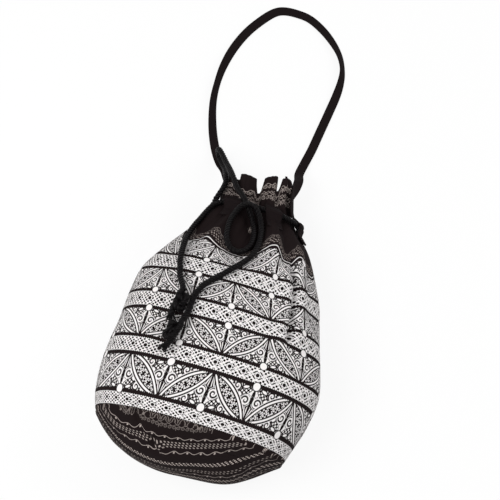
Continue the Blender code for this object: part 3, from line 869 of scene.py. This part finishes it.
def petal_print(from_edge, along_petal, depth):
    """A petal: thick white rim, a thin black line inside it, then stars on a net of small holes."""
    star_x = folded(along_petal, STAR_APART / 2)
    star_turn = Drawn.do("ARCTAN2", from_edge, star_x)
    star = reach_from(star_x, from_edge, 0, 0) - Drawn.do("COSINE", star_turn * 5.0) * STAR_POINT
    white = net(along_petal, from_edge, *PETAL_NET)
    white = over(white, inside(STAR_RING - star))
    white = without(white, inside(STAR_SIZE - star))
    white = without(white, stroke(depth - 0.0027, 0.0013))
    return over(white, stroke(depth - 0.0010, 0.0021))


def corner_print(x, y, depth, half):
    """The three-cornered field beside a petal: two curls on a stalk, a fan of leaves and small filling."""
    white = 1 - net(x + y * 0.3, y - x * 0.25, *FIELD_NET)
    line, beyond = coil(x, y, *OUTER_CURL)
    white = without(white, inside(0.0015 - beyond))
    white = over(white, within(line, inside(0 - beyond)))
    for placed_leaf in LEAVES:
        shape = leaf(x, y, *placed_leaf)
        white = without(white, inside(shape + 0.0010))
        white = over(white, inside(shape))
    # The inner curl hangs on a stalk from the dot: a drop shape with the coil in its round end.
    share_x = (x - STALK_ROOT[0]) * (STALK.x / STALK.length_squared)
    share_y = (y - STALK_ROOT[1]) * (STALK.y / STALK.length_squared)
    share = Drawn.do("ADD", share_x, share_y, clamp=True)
    beside = reach_from(x - share * STALK.x, y - share * STALK.y, *STALK_ROOT)
    drop = share * share * 0.0056 + 0.0008 - beside
    line, beyond = coil(x, y, *INNER_CURL)
    white = without(white, inside(drop + 0.0009))
    white = over(white, stroke(drop - 0.0006, 0.0012))
    white = over(white, inside(leaf(x, y, *STALK_LEAF)))
    white = without(white, inside(0 - beyond))
    white = over(white, within(line, inside(0 - beyond)))
    # Stem and fan of leaves under the upper corner.
    from_apex = reach_from(x, y, 0, PETAL_HEIGHT)
    lean = Drawn.do("ARCTAN2", x, PETAL_HEIGHT - y + 0.0001)
    in_fan = within(inside(FAN_REACH - from_apex, 0.001), inside(FAN_LEAN - lean, 0.04))
    blades = over(stroke((lean - 0.13) * from_apex, 0.0010), stroke((lean - 0.31) * from_apex, 0.0011))
    white = without(white, in_fan)
    white = over(white, within(blades, in_fan))
    white = without(white, within(inside(0.0011 - x), inside(y - 0.0060)))
    white = without(white, stroke(depth + 0.0008, 0.0016))
    white = over(white, within(stroke(depth + 0.0020, 0.0008), inside(0.0200 - abs(half / 2 - x))))
    return white


def lace_print(across, band_y):
    """A lace band: two white waves that cross, a black dot in each loop, and a white edge at both sides."""
    wave = Drawn.do("COSINE", (across + LACE_SHIFT) * (2 * math.pi / LACE_WAVE)) * LACE_SWING
    white = net(across, band_y, *LACE_NET)
    for line in (band_y - wave, band_y + wave):
        white = over(white, stroke(line, LACE_LINE))
    dot_x = folded(across + LACE_SHIFT, LACE_WAVE / 4)
    from_dot = reach_from(dot_x, band_y, 0, 0)
    white = over(white, inside(LACE_RING - from_dot))
    white = without(white, inside(LACE_DOT - from_dot))
    side = reach_from(dot_x, abs(band_y), 0.0038, 0.0032)
    white = without(white, inside(0.0010 - side))
    return over(white, stroke(abs(band_y) - LACE_EDGE, 0.0013))


def filigree_print(place):
    """How white the print is: lace bands with fields of petals, curls and leaves between them."""
    across = Drawn(place.outputs["X"]) - PRINT_START
    along = Drawn(place.outputs["Y"])
    repeat = LACE_HEIGHT + PETAL_HEIGHT
    half = PRINT_PERIOD / 2
    # One field of petals: x runs from a corner to the next, y from the lower band to the upper one.
    # Every second field stands on its head, and each field is the same turned half round its middle.
    level = Drawn.do("FLOOR", along / repeat)
    odd = Drawn.do("MODULO", abs(level), 2.0)
    from_lower = along - level * repeat
    folded_x = folded(across, half)
    y = from_lower - LACE_HEIGHT
    y = y + (PETAL_HEIGHT - 2 * y) * odd
    beyond = inside(folded_x / half + y / PETAL_HEIGHT - 1, 0.001)
    x = folded_x + (half - 2 * folded_x) * beyond
    y = y + (PETAL_HEIGHT - 2 * y) * beyond
    # The petal between two arcs, measured along and across its own length.
    length = math.hypot(half, PETAL_HEIGHT)
    from_edge = (1 - x / half - y / PETAL_HEIGHT) * (half * PETAL_HEIGHT / length)
    along_petal = x * (half / length) - (y - PETAL_HEIGHT) * (PETAL_HEIGHT / length) - length / 2
    depth = PETAL_BULGE * (1 - along_petal * along_petal * (4 / length**2)) - from_edge
    petal = petal_print(from_edge, along_petal, depth)
    field = corner_print(x, y, depth, half)
    field = field + (petal - field) * inside(depth)
    # Bands, and the toothed black line along both sides of each.
    band_y = from_lower - LACE_HEIGHT / 2
    lace = lace_print(across, band_y)
    from_band = Drawn.do("MINIMUM", abs(band_y) - LACE_HEIGHT / 2, repeat - from_lower)
    teeth = folded(across, TOOTH_WIDTH)
    drawn = field + (lace - field) * inside(0 - from_band)
    drawn = without(drawn, stroke(from_band - 0.0013, TOOTHED_LINE + teeth * 2.0))
    # White dots on the lines, where the stalks of two curls meet.
    dot_x = folded_x + (half - 2 * folded_x) * odd
    above = reach_from(dot_x, from_lower, 0, LACE_HEIGHT + DOT_LIFT)
    below = reach_from(dot_x, from_lower, 0, -DOT_LIFT) + Drawn.do("LESS_THAN", level, 0.5)
    top = reach_from(half - dot_x, from_lower, 0, repeat - DOT_LIFT)
    from_dot = Drawn.do("MINIMUM", Drawn.do("MINIMUM", above, below), top)
    drawn = without(drawn, inside(DOT_RING - from_dot))
    drawn = over(drawn, inside(DOT_SIZE - from_dot))
    from_end = PRINT_FIELDS * repeat - along
    printed = within(inside(along), inside(from_end))
    return over(within(drawn, printed), stroke(from_end + 0.0014, 0.0013))


def row_of(kind, across, y):
    """One thin ornamental row of the dark border, centred where y is 0."""
    if kind == "scroll":
        ring = reach_from(folded(across, 0.0050), y, 0.0025, 0)
        stem = within(stroke(folded(across, 0.0100), 0.0005), stroke(y + 0.0012, 0.0040))
        arc = Drawn.do("COSINE", across * (2 * math.pi / 0.0100)) * 0.0010 + 0.0026
        rings = over(stroke(ring - 0.0016, 0.0004), inside(0.0003 - ring))
        return over(over(stem, stroke(y - arc, 0.0004)), rings)
    if kind == "zigzag":
        return stroke(y - (folded(across, 0.0050) - 0.0025) * 0.7, 0.0007)
    if kind == "chain":
        return stroke(abs(y) - folded(across, 0.0024) * 0.6, 0.0004)
    if kind == "wave":
        wave = Drawn.do("COSINE", across * (2 * math.pi / 0.0150)) * 0.0013
        flower = reach_from(folded(across, 0.0075), y + wave * 0.3, 0, 0)
        return over(stroke(y - wave, 0.0006), inside(0.0010 - flower))
    if kind == "dashes":
        slanted = Drawn.do("SINE", (across + y * 1.3) * (2 * math.pi / 0.0042))
        return within(stroke(y, 0.0012), inside(slanted - 0.2, 0.5))
    grain = Drawn.do("SINE", across * 1500.0 + y * 1300.0) + Drawn.do("SINE", across * 870.0 - y * 2100.0)
    return within(stroke(y, 0.0062), inside(grain - 0.7, 0.5))


def border_rows(across, along, rows):
    """All the rows of a dark border: each has its kind, where it lies, and how bright it is."""
    found = None
    for kind, middle, brightness in rows:
        drawn = row_of(kind, across, along - middle) * brightness
        found = drawn if found is None else over(found, drawn)
    return found


NECK_ROWS = (
    ("mixed", 0.2490, 0.50),
    ("scroll", 0.2550, 0.40),
)
RIM_ROWS = (
    ("scroll", 0.3100, 0.75),
    ("chain", 0.3155, 0.75),
    ("scroll", 0.3220, 0.90),
)
BASE_ROWS = (
    # The four rows nearest the hem are drawn dimmer than the rest: painted shade under the overhanging hem.
    ("scroll", 0.1595, 0.18),
    ("zigzag", 0.1555, 0.28),
    ("zigzag", 0.1535, 0.28),
    ("scroll", 0.1485, 0.42),
    ("wave", 0.1355, 0.78),
    ("dashes", 0.1305, 0.55),
    ("dashes", 0.1283, 0.72),
    ("dashes", 0.1261, 0.55),
    ("wave", 0.1205, 0.72),
    ("mixed", 0.1040, 1.00),
    ("dashes", 0.0905, 0.60),
    ("dashes", 0.0870, 0.55),
    ("wave", 0.0800, 0.60),
    ("mixed", 0.0690, 0.80),
    ("dashes", 0.0600, 0.60),
    ("wave", 0.0540, 0.60),
    ("mixed", 0.0420, 0.75),
    ("dashes", 0.0340, 0.60),
    ("mixed", 0.0200, 0.70),
)
# The cloth is gathered at the neck, so the rows are drawn closer together there than they look.
NECK_SPREAD = 0.62
RIM_SPREAD = 0.48
# Where the rows lie on the base: for each place in the rows, its height at seven places across.
ROW_PLACES = np.array((0.0, 0.075, 0.104, 0.122, 0.135, 0.150, 0.160))
ROW_ACROSS = np.array((-0.09, -0.06, -0.03, 0.0, 0.03, 0.06, 0.09))
ROW_HEIGHTS = np.array((
    (0.0, 0.0, 0.0, 0.0, 0.0, 0.0, 0.0),
    (0.080, 0.079, 0.0775, 0.076, 0.074, 0.081, 0.107),
    (0.0975, 0.099, 0.100, 0.101, 0.1046, 0.117, 0.133),
    (0.106, 0.1165, 0.119, 0.1228, 0.1275, 0.138, 0.146),
    (0.120, 0.130, 0.1325, 0.137, 0.1445, 0.151, 0.156),
    (0.134, 0.143, 0.1465, 0.1505, 0.157, 0.163, 0.168),
    (0.144, 0.152, 0.156, 0.161, 0.168, 0.174, 0.178),
))


def row_places(points):
    """Where points on the base lie among the printed rows."""
    x = points[..., 0]
    levels = np.stack([np.interp(x, ROW_ACROSS, heights) for heights in ROW_HEIGHTS], -1)
    z = points[..., 2, None]
    low = np.clip((levels <= z).sum(-1) - 1, 0, len(ROW_PLACES) - 2)
    start = np.take_along_axis(levels, low[..., None], -1)[..., 0]
    end = np.take_along_axis(levels, low[..., None] + 1, -1)[..., 0]
    share = (points[..., 2] - start) / (end - start)
    return np.stack([x, ROW_PLACES[low] + share * (ROW_PLACES[low + 1] - ROW_PLACES[low])], -1)


def weave_height(place):
    """Threads crossing over and under, 0.6 mm apart."""
    warp = Drawn.do("SINE", Drawn(place.outputs["X"]) * (2 * math.pi / WEAVE_PERIOD))
    weft = Drawn.do("SINE", Drawn(place.outputs["Y"]) * (2 * math.pi / WEAVE_PERIOD))
    return warp * weft


def mixed_colour(tree, amount, first, second):
    """Mixes two colours, each a plain colour or another node's output."""
    node = tree.nodes.new("ShaderNodeMix")
    node.data_type = "RGBA"
    tree.links.new(amount.socket, node.inputs["Factor"])
    for socket, colour in zip((node.inputs[6], node.inputs[7]), (first, second)):
        if isinstance(colour, tuple):
            socket.default_value = (*colour, 1)
        else:
            tree.links.new(colour, socket)
    return node.outputs[2]


def cloth_place(tree, layer="cloth"):
    """The piece's own places on the cloth, across and along. What is drawn next goes to this tree."""
    Drawn.tree = tree
    source = tree.nodes.new("ShaderNodeUVMap")
    source.uv_map = layer
    split = tree.nodes.new("ShaderNodeSeparateXYZ")
    tree.links.new(source.outputs["UV"], split.inputs[0])
    return source, split


def dyed_ground(tree, source, scale, black, lighter):
    """The black of the cloth, which is lighter in small patches."""
    uneven = tree.nodes.new("ShaderNodeTexNoise")
    uneven.inputs["Scale"].default_value = scale
    tree.links.new(source.outputs["UV"], uneven.inputs["Vector"])
    patches = tuple(lighter * value for value in black)
    return mixed_colour(tree, Drawn(uneven.outputs["Fac"]), black, patches)


printed_cotton, tree, shader = new_material("printed_cotton", (*PRINT_BLACK, 1), 0.82, 0.04)
source, place = cloth_place(tree)
white_share = filigree_print(place)
along = Drawn(place.outputs["Y"])
border_share = over(
    border_rows(Drawn(place.outputs["X"]) * NECK_SPREAD, along, NECK_ROWS),
    border_rows(Drawn(place.outputs["X"]) * RIM_SPREAD, along, RIM_ROWS),
)
rows_place = cloth_place(tree, "rows")[1]
turned_share = border_rows(Drawn(rows_place.outputs["X"]), Drawn(rows_place.outputs["Y"]), BASE_ROWS)
border_share = over(border_share, within(turned_share, inside(0 - along)))
ink = dyed_ground(tree, source, 900, PRINT_BLACK, 1.9)
ink = mixed_colour(tree, border_share, ink, PRINT_CREAM)
ink = mixed_colour(tree, white_share, ink, PRINT_WHITE)
tree.links.new(ink, shader.inputs["Base Color"])
weave = weave_height(place)
add_bump(tree, shader, (weave + white_share * 0.6).socket, 0.00006, 0.5)

lining_cotton, tree, shader = new_material("lining_cotton", (*PRINT_BLACK, 1), 0.85, 0.03)
source, place = cloth_place(tree)
ink = dyed_ground(tree, source, 700, PRINT_BLACK, 2.2)
tree.links.new(ink, shader.inputs["Base Color"])
add_bump(tree, shader, weave_height(place).socket, 0.00006, 0.5)


def inward(points):
    """The way into the bag, square to its surface, which is given as a grid of points."""
    along = np.gradient(points, axis=0)
    around = np.gradient(points, axis=1)
    into = np.cross(around, along)
    return into / np.maximum(np.linalg.norm(into, axis=-1, keepdims=True), 1e-12)


def half_body(first_angle):
    """Places the points of one half of the body, from the seam at the first angle to the other one."""
    def place_points(across, along):
        angle = first_angle + np.pi * across
        length = -BASE_TURN + (BASE_TURN + BODY_LENGTH + FRILL_LENGTH) * along
        points = body_surface(angle, length)
        place = round_place(angle)
        seam = bump(across, 0, 0.02) + bump(across, 1, 0.02)
        height = small_folds(angle, length, place, points) * (1 - seam)
        height = height - SEAM_GROOVE * (bump(across, 0, 0.006) + bump(across, 1, 0.006))
        height = height - HEM_GROOVE * bump(length, *HEM_LINE)
        points = points - inward(points) * height[..., None]
        points[..., 2] = np.maximum(points[..., 2], FLOOR_GAP)
        side = math.copysign(SEAM_GAP, math.sin(first_angle + math.pi / 2))
        points[:, [0, -1], 2] += side
        dipping = ease((length - SHIFT_FOOT) / 0.050) * (1 - ease((length - SHIFT_HEAD) / 0.030))
        shift = PLEAT_SHIFT * valley(angle) * dipping
        left_shift = LEFT_SHIFT * bump(np.degrees(angle), *LEFT_SHIFT_PLACE)
        shift = shift + left_shift * ease((length - 0.190) / 0.050)
        printed = np.interp(length, PRINT_LINES[:, 0], PRINT_LINES[:, 1]) + shift
        return points, np.stack([place, printed], -1), row_places(points)

    return place_points


for half_name, node_name, first_angle in (("front", "front_panel", 0.0), ("back", "back_panel", math.pi)):
    cloth = grid_piece(
        "cloth_" + half_name, CLOTH_COLUMNS, CLOTH_ROWS, half_body(first_angle), printed_cotton
    )
    cloth.data.flip_normals()
    thicken(cloth, CLOTH_THICKNESS, lining_cotton)
    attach(cloth, "root")
    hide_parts(node_name)

# Base. A soft oval of the same dark cloth, with thin cream border rows printed across it. It is sewn to
# the turned edge of the body, and swells out because nothing in the bag holds it flat.
BASE_ANGLES = 220
BASE_RINGS = 60
BASE_GAP = 0.0003
BASE_SWELLING = 0.0030
# A sharp fold runs down from the hem on the left: where it starts, how far it runs down and sideways, and
# the depth, place and width of its groove and of the roll beside it.
FOLD_X = -0.0675
FOLD_Z = 0.150
FOLD_RUN = 0.024
FOLD_ROLL = (0.0080, 0.0065, 0.0055)
FOLD_GROOVE = (-0.0110, -0.0020, 0.0042)


def base_points(across, along):
    """Places the points of the base, from its sewn edge to its middle."""
    angle = 2 * np.pi * across
    share = np.maximum(1 - along, 1e-9)
    points = base_dome(angle, share, BASE_TURN + BASE_GAP)
    height = BASE_SWELLING * soft_noise(points, 21, 5) * ease((1 - share) * 4)
    from_top = (FOLD_Z - points[..., 2]) / FOLD_RUN
    beside = points[..., 0] - FOLD_X - FOLD_RUN * from_top
    fold = sum(depth * bump(beside, middle, width) for depth, middle, width in (FOLD_ROLL, FOLD_GROOVE))
    height = height + fold * ease(from_top + 0.6) * ease((1.7 - from_top) / 0.9)
    height = height * (1 - np.isclose(along, 1)) * ease((1 - share) * 12)
    places = row_places(points)
    points[..., 1] -= height
    points[..., 2] = np.maximum(points[..., 2], FLOOR_GAP)
    return points, places


dark_cotton, tree, shader = new_material("dark_cotton", (*PRINT_BLACK, 1), 0.85, 0.05)
source, place = cloth_place(tree)
border_share = border_rows(Drawn(place.outputs["X"]), Drawn(place.outputs["Y"]), BASE_ROWS)
ink = dyed_ground(tree, source, 900, PRINT_BLACK, 1.9)
ink = mixed_colour(tree, border_share, ink, PRINT_CREAM)
tree.links.new(ink, shader.inputs["Base Color"])
add_bump(tree, shader, weave_height(place).socket, 0.00006, 0.5)

base = grid_piece("cloth_base", BASE_ANGLES, BASE_RINGS, base_points, dark_cotton, weld=True)
thicken(base, CLOTH_THICKNESS, lining_cotton)
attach(base, "root")
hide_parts("base_panel")

# Strips on the neck. The strap's ends and the four tabs lie flat on the neck and pass over the
# drawstring in a hump.
CLEARANCE = 0.0003
STRIP_BLACK = (0.0058, 0.0038, 0.0040)
CORD_GRIP = CORD_DIAMETER / 2 + CLEARANCE
HUMP_SHOULDER = 0.76
HUMP_FOOT = 2.4
CORD_HUMP = CORD_DIAMETER / 2 + CORD_SEAT


def hump(y, grip):
    """How far a strip stands off the neck where it passes over the cord."""
    distance = np.abs(y - DRAW_Y) / grip
    shoulder = CORD_HUMP + grip * math.sqrt(1 - HUMP_SHOULDER**2)
    slope = shoulder * np.clip((HUMP_FOOT - distance) / (HUMP_FOOT - HUMP_SHOULDER), 0, 1)
    crown = CORD_HUMP + grip * np.sqrt(np.clip(1 - np.minimum(distance, HUMP_SHOULDER) ** 2, 0, 1))
    return np.where(distance > HUMP_SHOULDER, slope, crown)


strip_cotton, tree, shader = new_material("strip_cotton", (*STRIP_BLACK, 1), 0.80, 0.06)
source, place = cloth_place(tree)
ink = dyed_ground(tree, source, 800, STRIP_BLACK, 2.2)
tree.links.new(ink, shader.inputs["Base Color"])
add_bump(tree, shader, weave_height(place).socket, 0.00008, 0.6)

# Tabs. Four short double strips, sewn across at both ends, that hold the drawstring to the neck.
TAB_WIDTH = 0.019
TAB_THICKNESS = 0.0014
TAB_TAIL = 0.022
TAB_HEAD = 0.012
TAB_COLUMNS = 14
TAB_ROWS = 60
TABS = (
    ("tab_front_right", 62),
    ("tab_front_left", 133),
    ("tab_back_left", 230),
    ("tab_back_right", 296),
)
STITCH_LENGTH = 0.0026
STITCH_RADIUS = 0.00032
STITCH_ROWS = (0.07, 0.93)
STITCH_ENDS = (0.06, 0.94)
STITCH_DENT = 0.0005
thread_black, tree, shader = new_material("thread_black", (0.009, 0.008, 0.008, 1), 0.5, 0.2)


def tab_surface(degrees):
    """Places the points of a tab at an angle round the neck."""
    def place_points(across, along):
        y = DRAW_Y - TAB_TAIL + (TAB_TAIL + TAB_HEAD) * along
        middle = math.radians(degrees)
        radius = oval(*section(y)[2:], np.full_like(y, middle))
        turn = middle + (across - 0.5) * TAB_WIDTH / radius
        over_cord = np.abs(y - DRAW_Y) <= HUMP_SHOULDER * CORD_GRIP
        seat = envelope(turn, np.where(over_cord, DRAW_Y, y))
        seat[..., 1] = y
        height = CLEARANCE + hump(y, CORD_GRIP) + TAB_THICKNESS
        for share in STITCH_ROWS:
            height = height - STITCH_DENT * bump(along, share, 0.02)
        points = seat + envelope_normal(turn, y) * height[..., None]
        return points, np.stack([(across - 0.5) * TAB_WIDTH, y], -1)

    return place_points


def stitches(start, end, out):
    """A row of short threads from start to end, sunk a little at both ends of each."""
    start, end, out = (np.array(value, float) for value in (start, end, out))
    count = max(2, round(np.linalg.norm(end - start) / STITCH_LENGTH))
    parts = np.array((0.12, 0.3, 0.5, 0.7, 0.88))[:, None]
    rise = np.array((-0.0002, 0.0002, 0.0003, 0.0002, -0.0002))[:, None]
    return [start + (end - start) * (index + parts) / count + out * rise for index in range(count)]


for tab_name, tab_angle in TABS:
    surface = tab_surface(tab_angle)
    tab = grid_piece(tab_name + "_cloth", TAB_COLUMNS, TAB_ROWS, surface, strip_cotton)
    tab.data.flip_normals()
    thicken(tab, TAB_THICKNESS)
    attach(tab, "root")
    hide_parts(tab_name)
    out = envelope_normal(np.array(math.radians(tab_angle)), DRAW_Y)
    rows = []
    for share in STITCH_ROWS:
        edge, _ = surface(np.array([STITCH_ENDS]), np.array([[share, share]]))
        rows += stitches(edge[0, 0], edge[0, 1], out)
    seam = tubes(tab_name + "_stitches", rows, STITCH_RADIUS, thread_black, sides=0)
    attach(seam, "root")

# Strap. One flat strip folded from the dark cotton, 12.5 mm wide, sewn to both sides of the neck and
# laid in a loop on the table, where it turns on its edge at both sides.
STRAP_WIDTH = 0.0125
STRAP_THICKNESS = 0.0024
STRAP_REACH = 0.291
STRAP_SPREAD = 0.165
STRAP_OFFSET = -0.0235
STRAP_SEWN = 0.022
STRAP_RIGHT_ANGLE = 16
STRAP_LEFT_ANGLE = 196
STRAP_CORNERS = 0.35
STRAP_COLUMNS = 24
# The free loop: places across and along as shares of half its spread and of its reach, tilt in degrees,
# and lift off the table.
LOOP = (
    (0.760, 0.072, 0, 0.0400),
    (0.745, 0.150, 0, 0.0140),
    (0.785, 0.228, 0, 0.0030),
    (0.84, 0.310, 2, 0),
    (0.89, 0.410, 5, 0),
    (0.945, 0.520, 10, 0),
    (0.990, 0.620, 22, 0),
    (1.00, 0.70, 42, 0),
    (0.965, 0.765, 52, 0),
    (0.855, 0.834, 40, 0),
    (0.67, 0.898, 22, 0),
    (0.442, 0.952, 10, 0),
    (0.188, 0.990, 5, 0),
    (-0.055, 1.000, 0, 0),
    (-0.273, 0.993, -4, 0),
    (-0.430, 0.968, -8, 0),
    (-0.600, 0.907, -14, 0),
    (-0.782, 0.817, -20, 0),
    (-0.915, 0.713, -28, 0),
    (-0.988, 0.602, -42, 0),
    (-1.000, 0.498, -52, 0),
    (-0.965, 0.395, -42, 0),
    (-0.855, 0.278, -26, 0),
    (-0.715, 0.180, -12, 0.0020),
    (-0.570, 0.104, -6, 0.0095),
    (-0.420, 0.045, -3, 0.0220),
)


def strap_end(degrees):
    """Middle and facing of the strap on the neck, from the body up to the frill's edge."""
    angle = math.radians(degrees)
    grip = CORD_GRIP + STRAP_THICKNESS / 2
    y = DRAW_Y + np.concatenate([
        [-STRAP_SEWN, -STRAP_SEWN * 0.75],
        np.linspace(-HUMP_FOOT, HUMP_FOOT, 25) * grip,
        [FRILL_LENGTH * 0.5, FRILL_LENGTH],
    ])
    y = np.unique(y)
    over_cord = np.abs(y - DRAW_Y) <= HUMP_SHOULDER * grip
    angles = np.full_like(y, angle)
    seat = envelope(angles, np.where(over_cord, DRAW_Y, y))
    seat[:, 1] = y
    normal = envelope_normal(angles, y)
    height = 2 * CLEARANCE + np.maximum(hump(y, grip), STRAP_THICKNESS / 2)
    return np.concatenate([seat + normal * height[:, None], normal], axis=1)


def strap_loop():
    """Middle and facing of the strap where it lies on the table, from right to left."""
    rows = []
    for across, along, tilt, lift in LOOP:
        lean = math.radians(tilt)
        height = STRAP_THICKNESS / 2 * math.cos(lean) + STRAP_WIDTH / 2 * abs(math.sin(lean))
        x = STRAP_OFFSET + across * STRAP_SPREAD / 2
        y = RIM_Y + FRILL_LOBE + along * STRAP_REACH
        rows.append((x, y, height + CLEARANCE + lift, lean))
    rows = np.array(rows)
    ahead = np.gradient(rows[:, :2], axis=0)
    ahead /= np.linalg.norm(ahead, axis=1, keepdims=True)
    lean = rows[:, 3]
    normal = np.stack([ahead[:, 1] * np.sin(lean), -ahead[:, 0] * np.sin(lean), np.cos(lean)], -1)
    return np.concatenate([rows[:, :3], normal], axis=1)


def strap_middle():
    """Middle and facing of the whole strap, close together."""
    right = strap_end(STRAP_RIGHT_ANGLE)
    left = strap_end(STRAP_LEFT_ANGLE)[::-1]
    route = np.concatenate([right[-1:], strap_loop(), left[:1]])
    return np.concatenate([right, curve_through(route, 14)[1:], left])


strap_rows = strap_middle()


def strap_surface(across, along):
    """The strap's skin: a rounded oblong carried along its middle line."""
    middle = strap_rows[:, :3]
    ahead = np.gradient(middle, axis=0)
    ahead /= np.linalg.norm(ahead, axis=1, keepdims=True)
    sideways = np.cross(ahead, strap_rows[:, 3:])
    sideways /= np.linalg.norm(sideways, axis=1, keepdims=True)
    out = np.cross(sideways, ahead)
    turn = 2 * np.pi * across
    half_width = STRAP_WIDTH / 2
    half_depth = STRAP_THICKNESS / 2
    x = half_width * np.sign(np.cos(turn)) * np.abs(np.cos(turn)) ** STRAP_CORNERS
    z = half_depth * np.sign(np.sin(turn)) * np.abs(np.sin(turn)) ** STRAP_CORNERS
    reach = reach_along(middle)
    points = middle[:, None] + sideways[:, None] * x[..., None] + out[:, None] * z[..., None]
    return points, np.stack([x, reach[:, None] + 0 * x], -1)


strap = grid_piece(
    "strap", STRAP_COLUMNS, len(strap_rows) - 1, strap_surface, strip_cotton, weld=True, closed_ends=True
)
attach(strap, "root")
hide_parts("carry_strap")
